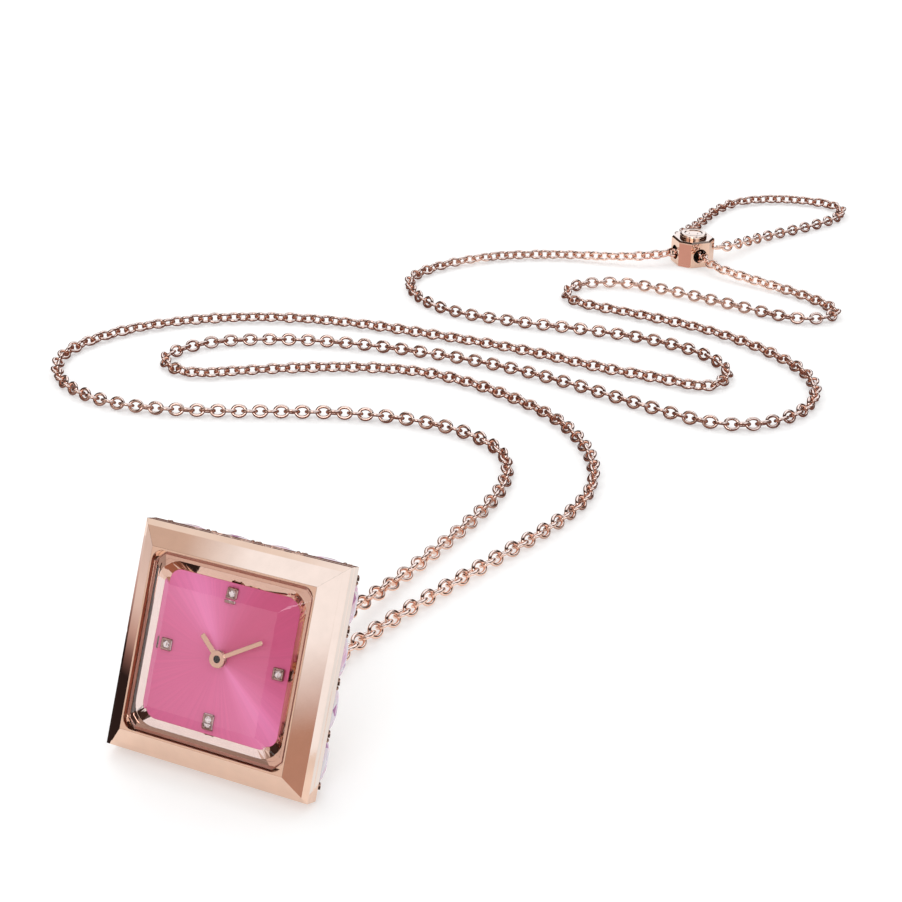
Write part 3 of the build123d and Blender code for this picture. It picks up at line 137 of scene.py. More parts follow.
# Bead's raised disc: radius and height above the disc's foot, from the middle out
CAP_PROFILE = (
    (0.0, 0.00066), (0.00080, 0.00066), (0.00092, 0.00060), (0.00160, 0.00060), (0.00175, 0.00076),
    (0.00205, 0.00080), (0.00235, 0.00076), (0.00254, 0.00060), (0.00260, 0.00045), (0.00260, 0.0),
)
CAP_STEPS = 64

# Points of the chain's three stretches
LEFT_STRAND = [
    (-0.00125, 0.0076, 0.0142), (-0.0012, 0.0086, 0.0085), (-0.001, 0.0155, 0.0045),
    (-0.0006, 0.0235, 0.003), (0, 0.0315, 0.002), (0.0008, 0.0395, 0.0011), (0.002, 0.0495, 0.0011),
    (0.003, 0.0595, 0.0011), (0.0028, 0.0695, 0.0011), (-0.0008, 0.0785, 0.0011),
    (-0.0095, 0.0831, 0.0011), (-0.02, 0.0834, 0.0011), (-0.0295, 0.0813, 0.0011),
    (-0.0385, 0.0775, 0.0011), (-0.0475, 0.0735, 0.0011), (-0.057, 0.0698, 0.0011),
    (-0.0655, 0.0682, 0.0011), (-0.0735, 0.0692, 0.0011), (-0.081, 0.0735, 0.0011),
    (-0.0855, 0.081, 0.0011), (-0.0842, 0.09, 0.0011), (-0.0788, 0.099, 0.0011), (-0.07, 0.1065, 0.0011),
    (-0.0595, 0.1118, 0.0011), (-0.046, 0.115, 0.0011), (-0.03, 0.116, 0.0011), (-0.014, 0.1165, 0.0011),
    (0, 0.1148, 0.0011), (0.011, 0.1151, 0.0011), (0.0195, 0.1143, 0.0011), (0.0215, 0.1215, 0.0011),
    (0.0155, 0.1278, 0.0011), (0.005, 0.1303, 0.0011), (-0.006, 0.1297, 0.0011), (-0.02, 0.1275, 0.0011),
    (-0.033, 0.1267, 0.0011), (-0.042, 0.1305, 0.0011), (-0.048, 0.1385, 0.0011),
    (-0.045, 0.1485, 0.0011), (-0.0375, 0.1575, 0.0011), (-0.026, 0.1635, 0.0011),
    (-0.0165, 0.165, 0.0015), (-0.00925, 0.1669, 0.0022), (-0.00403, 0.17176, 0.00235),
    (-0.00384, 0.17483, 0.00235), (-0.00571, 0.17695, 0.00235),
]
RIGHT_STRAND = [
    (0.00125, 0.0076, 0.0142), (0.0014, 0.0088, 0.007), (0.002, 0.0155, 0.0016), (0.003, 0.0245, 0.0011),
    (0.0055, 0.034, 0.0011), (0.0095, 0.0475, 0.0011), (0.014, 0.0615, 0.0011), (0.0152, 0.0725, 0.0011),
    (0.0112, 0.0835, 0.0011), (0.0023, 0.093, 0.0011), (-0.009, 0.0981, 0.0011), (-0.02, 0.1008, 0.0011),
    (-0.03, 0.1003, 0.0011), (-0.041, 0.096, 0.0011), (-0.052, 0.0895, 0.0011), (-0.0615, 0.0827, 0.0011),
    (-0.0695, 0.0865, 0.0011), (-0.0665, 0.0955, 0.0011), (-0.058, 0.1012, 0.0011),
    (-0.047, 0.1055, 0.0011), (-0.032, 0.1081, 0.0011), (-0.016, 0.1088, 0.0011),
    (-0.002, 0.1069, 0.0011), (0.012, 0.1037, 0.0011), (0.025, 0.1016, 0.0011), (0.0333, 0.1065, 0.0011),
    (0.037, 0.1165, 0.0011), (0.0336, 0.1268, 0.0011), (0.024, 0.134, 0.0011), (0.012, 0.1387, 0.0011),
    (-0.002, 0.1402, 0.0011), (-0.0165, 0.1407, 0.0011), (-0.0185, 0.1485, 0.0011),
    (-0.0115, 0.1542, 0.0011), (0, 0.1538, 0.0011), (0.013, 0.1517, 0.0011), (0.026, 0.1495, 0.0011),
    (0.032, 0.156, 0.0011), (0.024, 0.1618, 0.0011), (0.013, 0.1649, 0.0013), (0.0043, 0.1666, 0.002),
    (-0.00096, 0.17157, 0.00235), (-0.00077, 0.17464, 0.00235), (0.00135, 0.17651, 0.00235),
]
END_LOOP = [
    (-0.00571, 0.17695, 0.00235), (-0.0077, 0.1792, 0.00235), (-0.0076, 0.185, 0.0017),
    (-0.0069, 0.192, 0.0011), (-0.0069, 0.2005, 0.0011), (-0.0043, 0.2105, 0.0011),
    (0.005, 0.2165, 0.0011), (0.017, 0.2165, 0.0011), (0.0185, 0.2085, 0.0011), (0.0135, 0.1995, 0.0011),
    (0.0077, 0.191, 0.0011), (0.0054, 0.1845, 0.0017), (0.0036, 0.1785, 0.00235),
    (0.00135, 0.17651, 0.00235),
]

# Light
FLOOR_HALF = 30.0
FLOOR_COLOUR = (0.76, 0.76, 0.76, 1)
FLOOR_GLOW = 0.30
FLOOR_LEVEL = -0.00003
WORLD_LIGHT = 0.88
SOFTBOX_COLOUR = (1.18, 1.42, 1.66, 1)
ROOM_COLOUR = (0.055, 0.035, 0.03, 1)
BROWN_COLOUR = (0.56, 0.37, 0.31, 1)
TAN_COLOUR = (0.74, 0.66, 0.62, 1)
SAND_COLOUR = (0.88, 0.79, 0.75, 1)
PALE_COLOUR = (1.02, 1.08, 1.12, 1)
KEY_PLACE = (-0.25, 0.30, 0.50)
KEY_AIM = (0, 0.08, 0)
KEY_SIDE = 0.40
KEY_POWER = 0.6
FILL_PLACE = (0.05, -0.50, 0.35)
FILL_AIM = (0, 0, 0.013)
FILL_SIDE = 0.30
FILL_POWER = 0.55

# What the metal mirrors round the studio: azimuth, elevation, the angles at which each starts and ends
# to fade, and colour
STUDIO_SPOTS = (
    (-88, 57, 12.0, 18.0, TAN_COLOUR),
    (-68, 57, 7.0, 10.0, PALE_COLOUR),
    (133, 1, 9.0, 13.0, BROWN_COLOUR),
    (-151, 11, 12.0, 20.0, SAND_COLOUR),
    (-88, 82, 20.0, 22.2, SOFTBOX_COLOUR),
    (133, 27, 19.4, 22.4, SOFTBOX_COLOUR),
    (113, 4, 12.0, 15.0, SOFTBOX_COLOUR),
    (-17, 20, 9.0, 15.0, SOFTBOX_COLOUR),
    (40, 55, 22.0, 27.0, SOFTBOX_COLOUR),
    (-25, 50, 20.0, 25.0, SOFTBOX_COLOUR),
    (150, 12, 7.0, 11.0, ROOM_COLOUR),
    (172, 34, 11.0, 15.0, SOFTBOX_COLOUR),
)

# Cards beside the object that only its metal mirrors: low corner, high corner, and colours along X or Y
CARD_REACH = 0.26
CHAIN_DARK = (0.17, 0.09, 0.075)
CARD_EDGE = (0.95, 0.92, 0.91)
CARD_PALE = (1.0, 1.21, 1.38)
CARD_BROWN = (0.72, 0.47, 0.44)
CARDS = {
    "black_card": ((-0.125, -0.020), (-0.0134, 0.028), "X", (
        (-0.125, (0.88, 0.86, 0.87)), (-0.103, (0.80, 0.75, 0.76)), (-0.080, (0.89, 0.84, 0.86)),
        (-0.070, (0.84, 0.76, 0.77)), (-0.058, (0.62, 0.46, 0.44)), (-0.048, (0.22, 0.13, 0.12)),
        (-0.041, (0.03, 0.02, 0.02)),
    )),
    "pale_card": ((0.0145, -0.010), (0.050, 0.048), "X", ((0.0, CARD_PALE), (0.13, CARD_PALE))),
    "dark_card": ((-0.045, -0.036), (0.016, -0.0136), "X", (
        (-0.022, (0.10, 0.05, 0.04)), (-0.002, (0.46, 0.22, 0.15)),
    )),
    "near_chain_card": ((-0.120, 0.044), (0.017, 0.155), "Y", (
        (0.044, CARD_EDGE), (0.072, CHAIN_DARK), (0.148, CHAIN_DARK), (0.155, CARD_EDGE),
    )),
    "right_chain_card": ((0.017, 0.064), (0.060, 0.172), "Y", (
        (0.064, CARD_EDGE), (0.080, CHAIN_DARK), (0.160, CHAIN_DARK), (0.172, CARD_EDGE),
    )),
    "left_chain_card": ((-0.060, 0.155), (-0.022, 0.172), "Y", ((0.155, CHAIN_DARK), (0.172, CARD_EDGE))),
    "far_chain_card": ((-0.060, 0.178), (0.060, 0.235), "Y", ((0.178, CARD_EDGE), (0.195, CHAIN_DARK))),
    "brown_card": ((-0.0100, 0.1570), (-0.0018, 0.1694), "X", ((-0.13, CARD_BROWN), (0.0, CARD_BROWN))),
}
CARD_LEVEL = 0.00001

# Colours
ROSE_GOLD = (0.80, 0.555, 0.43)
CHAIN_GOLD = (0.90, 0.62, 0.50)

# Finishes: scale of the grain, and how far colour and polish vary over a surface
METAL_GRAIN = 6000.0
CLOUDS_IN_GRAIN = 12
METAL_SHADES = (0.97, 1.02)
METAL_POLISH = (0.75, 1.3)
PLASTIC_GRAIN = 3000.0
PLASTIC_SHADES = (0.9, 1.1)
PLASTIC_POLISH = (0.9, 1.1)
NOISE_SPAN = (0.3, 0.7)
EDGE_SOFTENING = 0.00006
METAL_RELIEF = 0.00001
PLASTIC_RELIEF = 0.00002
WIRE_RELIEF = 0.00003
WIRE_SCALE = 9000.0
TRACK_SCALE = 900.0
GLASS_IOR = 1.52
GLASS_TINT = (1.0, 0.985, 0.99, 1)
GLASS_PASSING_TINT = (0.97, 0.95, 0.96, 1)
# Dial pink in painted shade and in painted sheen; the sheen stops mix between the two
DIAL_SHADED_PINK = (0.64, 0.065, 0.18)
DIAL_SHEEN_PINK = (1.0, 0.29, 0.58)
DIAL_STREAKS = 45.0

# Colours of the stones' facets, each from a place between 0 and 1 onwards: painted reflections, light and
# dark, that stand in for what each facet mirrors, over the pink stones' own tint; the marker stones' colours
# are painted reflections only
PINK_TINT_AND_REFLECTIONS = (
    (0.0, (1.0, 0.83, 0.90)),
    (0.28, (1.0, 0.68, 0.81)),
    (0.50, (1.0, 0.92, 0.94)),
    (0.72, (0.92, 0.54, 0.73)),
    (0.82, (1.0, 0.78, 0.87)),
    (0.94, (0.52, 0.18, 0.39)),
)
MARKER_PAINTED_REFLECTIONS = (
    (0.0, (0.90, 0.84, 0.82)),
    (0.30, (0.45, 0.33, 0.31)),
    (0.50, (1.0, 0.97, 0.95)),
    (0.72, (0.72, 0.58, 0.55)),
    (0.90, (0.16, 0.10, 0.10)),
)
PINK_STONE_IOR = 1.7
MARKER_STONE_IOR = 2.0
FACET_SNAP = (0.05, 0.05, 0.05)

# Painted sheen on the dial: brightness by angle from 3 o'clock, from 0 to 1, with bright bands where the
# brushed finish would catch the light and darker bands where it would not
SUNRAY_SHEEN_STOPS = (
    (-180, 0.40), (-130, 0.38), (-62, 0.50), (-47, 0.80), (-41, 1.0), (-34, 0.62), (-12, 0.28), (30, 0.14),
    (60, 0.14), (80, 0.28), (106, 0.66), (120, 1.0), (130, 0.80), (148, 0.46), (180, 0.40),
)


def new_material(name):
    """A material with its nodes, its links and its main shader."""
    material = bpy.data.materials.new(name)
    material.use_nodes = True
    tree = material.node_tree
    return material, tree.nodes, tree.links, tree.nodes["Principled BSDF"]


def place_texture(nodes, links, kind, scale):
    """A texture on the piece's own coordinates."""
    coordinates = nodes.new("ShaderNodeTexCoord")
    texture = nodes.new(kind)
    texture.inputs["Scale"].default_value = scale
    links.new(coordinates.outputs["Object"], texture.inputs["Vector"])
    return texture


def map_range(nodes, links, source, low, high, start=0.0, end=1.0):
    """A value moved from one range to another."""
    node = nodes.new("ShaderNodeMapRange")
    node.inputs["From Min"].default_value = start
    node.inputs["From Max"].default_value = end
    node.inputs["To Min"].default_value = low
    node.inputs["To Max"].default_value = high
    links.new(source, node.inputs["Value"])
    return node.outputs["Result"]


def colour_ramp(nodes, links, source, stops, interpolation="LINEAR"):
    """Colours at places from 0 to 1."""
    node = nodes.new("ShaderNodeValToRGB")
    node.color_ramp.interpolation = interpolation
    while len(node.color_ramp.elements) < len(stops):
        node.color_ramp.elements.new(1.0)
    for element, (place, colour) in zip(node.color_ramp.elements, stops):
        element.position = place
        element.color = (*colour, 1)
    links.new(source, node.inputs["Fac"])
    return node.outputs["Color"]


def shaded(colour, share):
    """A colour made lighter or darker."""
    return tuple(min(1.0, part * share) for part in colour)


def metal(name, colour, roughness, grain=METAL_GRAIN, edge=0.0, bump=0.02):
    """Metal with faint cloudiness, uneven polish, fine handling marks and, with an edge, softened edges."""
    material, nodes, links, shader = new_material(name)
    shader.inputs["Metallic"].default_value = 1.0
    cloud = place_texture(nodes, links, "ShaderNodeTexNoise", grain / CLOUDS_IN_GRAIN)
    stops = [(place, shaded(colour, share)) for place, share in zip(NOISE_SPAN, METAL_SHADES)]
    links.new(colour_ramp(nodes, links, cloud.outputs["Fac"], stops), shader.inputs["Base Color"])
    fine = place_texture(nodes, links, "ShaderNodeTexNoise", grain)
    fine.inputs["Detail"].default_value = 4.0
    low, high = (roughness * share for share in METAL_POLISH)
    rough = map_range(nodes, links, fine.outputs["Fac"], low, high, *NOISE_SPAN)
    links.new(rough, shader.inputs["Roughness"])
    relief = nodes.new("ShaderNodeBump")
    relief.inputs["Strength"].default_value = bump
    relief.inputs["Distance"].default_value = METAL_RELIEF
    links.new(fine.outputs["Fac"], relief.inputs["Height"])
    if edge:
        bevel = nodes.new("ShaderNodeBevel")
        bevel.samples = 4
        bevel.inputs["Radius"].default_value = edge
        links.new(bevel.outputs["Normal"], relief.inputs["Normal"])
    links.new(relief.outputs["Normal"], shader.inputs["Normal"])
    return material


def moulded(name, colour, roughness, grain=PLASTIC_GRAIN):
    """Rubber, silicone or plastic with a fine matt grain."""
    material, nodes, links, shader = new_material(name)
    fine = place_texture(nodes, links, "ShaderNodeTexNoise", grain)
    fine.inputs["Detail"].default_value = 3.0
    stops = [(place, shaded(colour, share)) for place, share in zip(NOISE_SPAN, PLASTIC_SHADES)]
    links.new(colour_ramp(nodes, links, fine.outputs["Fac"], stops), shader.inputs["Base Color"])
    low, high = (roughness * share for share in PLASTIC_POLISH)
    rough = map_range(nodes, links, fine.outputs["Fac"], low, high, *NOISE_SPAN)
    links.new(rough, shader.inputs["Roughness"])
    relief = nodes.new("ShaderNodeBump")
    relief.inputs["Strength"].default_value = 0.1
    relief.inputs["Distance"].default_value = PLASTIC_RELIEF
    links.new(fine.outputs["Fac"], relief.inputs["Height"])
    links.new(relief.outputs["Normal"], shader.inputs["Normal"])
    return material


def wound_copper(name):
    """Fine enamelled wire in close turns along the coil."""
    material, nodes, links, shader = new_material(name)
    shader.inputs["Metallic"].default_value = 1.0
    wave = place_texture(nodes, links, "ShaderNodeTexWave", WIRE_SCALE)
    wave.bands_direction = "X"
    # Colour from dark between the turns to bright on them: painted shade and painted highlight of the round
    # wire over its copper
    stops = [(0.0, (0.30, 0.11, 0.05)), (1.0, (0.85, 0.42, 0.22))]
    links.new(colour_ramp(nodes, links, wave.outputs["Fac"], stops), shader.inputs["Base Color"])
    shader.inputs["Roughness"].default_value = 0.35
    relief = nodes.new("ShaderNodeBump")
    relief.inputs["Distance"].default_value = WIRE_RELIEF
    links.new(wave.outputs["Fac"], relief.inputs["Height"])
    links.new(relief.outputs["Normal"], shader.inputs["Normal"])
    return material


def facet_stone(name, stops, transmission, ior):
    """Cut stone whose facets differ in colour by painted reflections: each facet gets a colour that stands in
    for what it mirrors inside.
    """
    material, nodes, links, shader = new_material(name)
    geometry = nodes.new("ShaderNodeNewGeometry")
    random_value = nodes.new("ShaderNodeTexWhiteNoise")
    random_value.noise_dimensions = "4D"
    snapped = nodes.new("ShaderNodeVectorMath")
    snapped.operation = "SNAP"
    snapped.inputs[1].default_value = FACET_SNAP
    links.new(geometry.outputs["True Normal"], snapped.inputs[0])
    links.new(snapped.outputs["Vector"], random_value.inputs["Vector"])
    links.new(geometry.outputs["Random Per Island"], random_value.inputs["W"])
    # Each facet's colour is picked at random by its normal: a painted reflection, light or dark.
    facets = colour_ramp(nodes, links, random_value.outputs["Value"], stops, "CONSTANT")
    links.new(facets, shader.inputs["Base Color"])
    shader.inputs["Roughness"].default_value = 0.03
    shader.inputs["IOR"].default_value = ior
    shader.inputs["Transmission Weight"].default_value = transmission
    shader.inputs["Coat Weight"].default_value = 0.2
    return material


def clear_glass(name):
    """Clear faceted glass that plain light and mirrored light pass straight through."""
    material, nodes, links, shader = new_material(name)
    shader.inputs["Base Color"].default_value = GLASS_TINT
    shader.inputs["Transmission Weight"].default_value = 1.0
    shader.inputs["IOR"].default_value = GLASS_IOR
    smear = place_texture(nodes, links, "ShaderNodeTexNoise", 300.0)
    smeared = map_range(nodes, links, smear.outputs["Fac"], 0.0, 0.012, 0.45, 0.8)
    links.new(smeared, shader.inputs["Roughness"])
    clear = nodes.new("ShaderNodeBsdfTransparent")
    clear.inputs["Color"].default_value = GLASS_PASSING_TINT
    path = nodes.new("ShaderNodeLightPath")
    passing = nodes.new("ShaderNodeMath")
    passing.operation = "MAXIMUM"
    links.new(path.outputs["Is Shadow Ray"], passing.inputs[0])
    links.new(path.outputs["Is Diffuse Ray"], passing.inputs[1])
    mirrored = nodes.new("ShaderNodeMath")
    mirrored.operation = "MAXIMUM"
    links.new(passing.outputs["Value"], mirrored.inputs[0])
    links.new(path.outputs["Is Glossy Ray"], mirrored.inputs[1])
    mix = nodes.new("ShaderNodeMixShader")
    links.new(mirrored.outputs["Value"], mix.inputs["Fac"])
    links.new(shader.outputs["BSDF"], mix.inputs[1])
    links.new(clear.outputs["BSDF"], mix.inputs[2])
    links.new(mix.outputs["Shader"], nodes["Material Output"].inputs["Surface"])
    return material


def sunray_dial(name):
    """Pink lacquer brushed in streaks out from the centre, with painted sheen: lighter and darker bands by
    angle round the dial, where the brushing would catch the light.
    """
    material, nodes, links, shader = new_material(name)
    coordinates = nodes.new("ShaderNodeTexCoord")
    offset = nodes.new("ShaderNodeVectorMath")
    offset.operation = "SUBTRACT"
    offset.inputs[1].default_value = CASE_PLACE @ Vector((0, 0, DIAL_TOP))
    links.new(coordinates.outputs["Object"], offset.inputs[0])
    parts = []
    for axis in (DIAL_RIGHT, DIAL_UP):
        dot = nodes.new("ShaderNodeVectorMath")
        dot.operation = "DOT_PRODUCT"
        dot.inputs[1].default_value = axis
        links.new(offset.outputs["Vector"], dot.inputs[0])
        parts.append(dot.outputs["Value"])
    angle = nodes.new("ShaderNodeMath")
    angle.operation = "ARCTAN2"
    links.new(parts[1], angle.inputs[0])
    links.new(parts[0], angle.inputs[1])
    turn = map_range(nodes, links, angle.outputs["Value"], 0.0, 1.0, -pi, pi)
    # Painted sheen: the pink mixed from shaded to bright by angle round the dial
    stops = []
    for degrees_from_right, share in SUNRAY_SHEEN_STOPS:
        mixed = tuple(a + (b - a) * share for a, b in zip(DIAL_SHADED_PINK, DIAL_SHEEN_PINK))
        stops.append(((degrees_from_right + 180) / 360, mixed))
    sheen_by_angle = colour_ramp(nodes, links, turn, stops)
    sheen_by_angle.node.color_ramp.interpolation = "B_SPLINE"
    outward = nodes.new("ShaderNodeVectorMath")
    outward.operation = "NORMALIZE"
    links.new(offset.outputs["Vector"], outward.inputs[0])
    streaks = nodes.new("ShaderNodeTexNoise")
    streaks.inputs["Scale"].default_value = DIAL_STREAKS
    streaks.inputs["Detail"].default_value = 4.0
    links.new(outward.outputs["Vector"], streaks.inputs["Vector"])
    shade = colour_ramp(nodes, links, streaks.outputs["Fac"], [(0.35, (0.93,) * 3), (0.65, (1.0,) * 3)])
    blend = nodes.new("ShaderNodeMix")
    blend.data_type = "RGBA"
    blend.blend_type = "MULTIPLY"
    blend.inputs["Factor"].default_value = 1.0
    links.new(sheen_by_angle, blend.inputs["A"])
    links.new(shade, blend.inputs["B"])
    links.new(blend.outputs["Result"], shader.inputs["Base Color"])
    shader.inputs["Roughness"].default_value = 0.38
    shader.inputs["Coat Weight"].default_value = 0.15
    relief = nodes.new("ShaderNodeBump")
    relief.inputs["Strength"].default_value = 0.08
    relief.inputs["Distance"].default_value = METAL_RELIEF
    links.new(streaks.outputs["Fac"], relief.inputs["Height"])
    links.new(relief.outputs["Normal"], shader.inputs["Normal"])
    return material


def circuit_green(name):
    """Green solder mask with faint paler tracks."""
    material, nodes, links, shader = new_material(name)
    tracks = place_texture(nodes, links, "ShaderNodeTexBrick", TRACK_SCALE)
    tracks.inputs["Color1"].default_value = (0.02, 0.16, 0.07, 1)
    tracks.inputs["Color2"].default_value = (0.03, 0.20, 0.09, 1)
    tracks.inputs["Mortar"].default_value = (0.10, 0.34, 0.16, 1)
    links.new(tracks.outputs["Color"], shader.inputs["Base Color"])
    shader.inputs["Roughness"].default_value = 0.4
    return material


def make_materials():
    """The finish of each material slot."""
    return {
        "rose_gold": metal("rose_gold_polish", ROSE_GOLD, 0.035, edge=EDGE_SOFTENING),
        "chain_gold": metal("chain_gold_polish", CHAIN_GOLD, 0.07, bump=0.04),
        "pink_stone": facet_stone("pink_stone_painted_reflections", PINK_TINT_AND_REFLECTIONS, 0.25, PINK_STONE_IOR),
        "marker_stone": facet_stone("marker_stone_painted_reflections", MARKER_PAINTED_REFLECTIONS, 0.0, MARKER_STONE_IOR),
        "crystal_glass": clear_glass("crystal_clear"),
        "dial_pink": sunray_dial("dial_sunray_painted_sheen"),
        "gasket_rubber": moulded("gasket_black_rubber", (0.02, 0.018, 0.018), 0.5),
        "gasket_amber": moulded("gasket_amber_nylon", (0.36, 0.12, 0.075), 0.3),
        "setting_metal": metal("setting_dark_gold", (0.48, 0.34, 0.31), 0.12),
        # Grains: gold darkened to brown, a painted dark reflection
        "grain_metal": metal("grain_gold_painted_dark", (0.34, 0.17, 0.12), 0.1),
        "silicone": moulded("silicone_dark", (0.035, 0.02, 0.018), 0.55),
        "wheel_brass": metal("wheel_brass_brushed", (0.88, 0.66, 0.33), 0.28),
        "steel": metal("steel_brushed", (0.55, 0.56, 0.58), 0.3),
        # Near-black steel: painted shade of the hole at the hands' centre
        "dark_steel": metal("pivot_steel_painted_shade", (0.05, 0.045, 0.045), 0.25),
        "coil_wire": wound_copper("coil_copper_wire"),
        "board_green": circuit_green("board_green_mask"),
        "chip_black": moulded("chip_black_resin", (0.015, 0.015, 0.017), 0.45),
        "holder_plastic": moulded("holder_white_plastic", (0.75, 0.74, 0.70), 0.4),
    }


def dress_nodes(materials):
    """Gives each carried-over node the finish of its slot."""
    for node in frame["nodes"].values():
        for slot in node.material_slots:
            slot_name = slot.material.name.split(".")[0]
            slot.material = materials[slot_name]
    # The pinion and wheel seen in the hub's hole are made near-black: painted shade of that hole
    for name in ("cannon_pinion", "centre_wheel"):
        frame["nodes"][name].material_slots[0].material = materials["dark_steel"]


def mesh_piece(name, vertices, faces, material, body, smooth=False):
    """A mesh object that rides on a body, with its normals outwards."""
    data = bpy.data.meshes.new(name)
    data.from_pydata([tuple(vertex) for vertex in vertices], [], faces)
    work = bmesh.new()
    work.from_mesh(data)
    bmesh.ops.recalc_face_normals(work, faces=work.faces)
    work.to_mesh(data)
    work.free()
    if smooth:
        data.shade_smooth()
    data.materials.append(material)
    piece = bpy.data.objects.new(name, data)
    bpy.context.scene.collection.objects.link(piece)
    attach(piece, body)
    return piece


def add_ring(vertices, faces, middle, along, side, half_length, half_width, wire_r, steps, wire_steps):
    """Adds a closed wire ring, round or oval, that lies in the plane of two directions."""
    first = len(vertices)
    across = along.cross(side)
    for step in range(steps):
        turn = tau * step / steps
        outward = along * (cos(turn) * half_width) + side * (sin(turn) * half_length)
        outward.normalize()
        centre = middle + along * (half_length * cos(turn)) + side * (half_width * sin(turn))
        for wire_step in range(wire_steps):
            roll = tau * wire_step / wire_steps
            vertices.append(centre + outward * (wire_r * cos(roll)) + across * (wire_r * sin(roll)))
    for step in range(steps):
        here = first + step * wire_steps
        there = first + (step + 1) % steps * wire_steps
        for wire_step in range(wire_steps):
            following = (wire_step + 1) % wire_steps
            faces.append((here + wire_step, there + wire_step, there + following, here + following))


def smooth_line(name, route):
    """Points along a smooth curve that has the route's points as its control points."""
    data = bpy.data.curves.new(name + "_line", "CURVE")
    data.dimensions = "3D"
    data.resolution_u = LINE_RESOLUTION
    spline = data.splines.new("NURBS")
    spline.points.add(len(route) - 1)
    for point, place in zip(spline.points, route):
        point.co = (*place, 1)
    spline.order_u = LINE_ORDER
    spline.use_endpoint_u = True
    holder = bpy.data.objects.new(name + "_line", data)
    line = bpy.data.meshes.new_from_object(holder)
    points = [vertex.co.copy() for vertex in line.vertices]
    bpy.data.objects.remove(holder)
    bpy.data.curves.remove(data)
    bpy.data.meshes.remove(line)
    return points


def even_places(points, pitch):
    """Places spread evenly along a line, about a pitch apart, each with its direction."""
    lengths = [0.0]
    for start, end in zip(points, points[1:]):
        lengths.append(lengths[-1] + (end - start).length)
    count = round(lengths[-1] / pitch)
    places = []
    index = 0
    for number in range(count):
        wanted = (number + 0.5) * lengths[-1] / count
        while lengths[index + 1] < wanted:
            index += 1
        step = points[index + 1] - points[index]
        share = (wanted - lengths[index]) / (lengths[index + 1] - lengths[index])
        places.append((points[index] + step * share, step.normalized()))
    return places


def make_strand(name, route, heading, chance, material):
    """One stretch of chain: oval links, each turned a quarter from the last."""
    points = smooth_line(name, route)
    vertices = []
    faces = []
    for number, (middle, along) in enumerate(even_places(points, LINK_PITCH)):
        right = along.cross(Vector((0, 0, heading))).normalized()
        up = (right * heading).cross(along)
        turn = LINK_TILT + (pi / 2 if number % 2 else 0) + chance.uniform(-LINK_LOOSENESS, LINK_LOOSENESS)
        side = right * cos(turn) + up * sin(turn)
        add_ring(vertices, faces, middle, along, side, LINK_HALF_LENGTH, LINK_HALF_WIDTH, LINK_WIRE_R,
                 LINK_STEPS, WIRE_STEPS)
    strand = mesh_piece(name + "_links", vertices, faces, material, "case", smooth=True)
    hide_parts(name)
    return strand, points


def make_chain(materials):
    """The chain's three stretches, each drawn as links along its route, with the jump rings and the bead's
    disc.
    """
    chance = random.Random(CHAIN_SEED)
    jump_rings = make_jump_rings(materials)
    nodes = frame["nodes"]
    routes = {
        "chain_left": (LEFT_STRAND, -1, [jump_rings, nodes["slider_shell"]]),
        "chain_right": (RIGHT_STRAND, 1, [nodes["slider_core"], nodes["slider_base"]]),
        "chain_end_loop": (END_LOOP, -1, [make_bead_cap(materials)]),
    }
    for name, (route, heading, pieces) in routes.items():
        strand, points = make_strand(name, route, heading, chance, materials["chain_gold"])


def make_jump_rings(materials):
    """The two round rings between the bail and the chain's ends."""
    low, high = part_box("jump_rings")
    middle = (low + high) / 2
    vertices = []
    faces = []
    for side in (-1, 1):
        place = Vector((side * JUMP_RING_X, middle.y, middle.z))
        add_ring(vertices, faces, place, Vector((0, 1, 0)), Vector((0, 0, 1)), JUMP_RING_R, JUMP_RING_R,
                 JUMP_WIRE_R, JUMP_STEPS, WIRE_STEPS)
    rings = mesh_piece("jump_ring_pair", vertices, faces, materials["chain_gold"], "case",
                       smooth=True)
    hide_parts("jump_rings")
    return rings


def make_bead_cap(materials):
    """The disc on the bead, with a raised rim and a low round boss."""
    low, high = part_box("slider_cap")
    foot = Vector(((low.x + high.x) / 2, (low.y + high.y) / 2, low.z))
    vertices = [foot + Vector((0, 0, CAP_PROFILE[0][1]))]
    faces = []
    for radius, height in CAP_PROFILE[1:]:
        for step in range(CAP_STEPS):
            turn = tau * step / CAP_STEPS
            vertices.append(foot + Vector((radius * cos(turn), radius * sin(turn), height)))
    for step in range(CAP_STEPS):
        following = (step + 1) % CAP_STEPS
        faces.append((0, 1 + step, 1 + following))
        for ring in range(len(CAP_PROFILE) - 2):
            inner = 1 + ring * CAP_STEPS
            outer = inner + CAP_STEPS
            faces.append((inner + step, outer + step, outer + following, inner + following))
    last = 1 + (len(CAP_PROFILE) - 2) * CAP_STEPS
    faces.append(tuple(last + step for step in range(CAP_STEPS)))
    cap = mesh_piece("slider_cap_disc", vertices, faces, materials["rose_gold"], "case")
    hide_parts("slider_cap")
    return cap


def rounded_point(turn, half_length, half_width, roundness):
    """A point on an outline between an oval and a rectangle."""
    x = copysign(abs(cos(turn)) ** (2 / roundness), cos(turn))
    y = copysign(abs(sin(turn)) ** (2 / roundness), sin(turn))
    return half_length * x, half_width * y


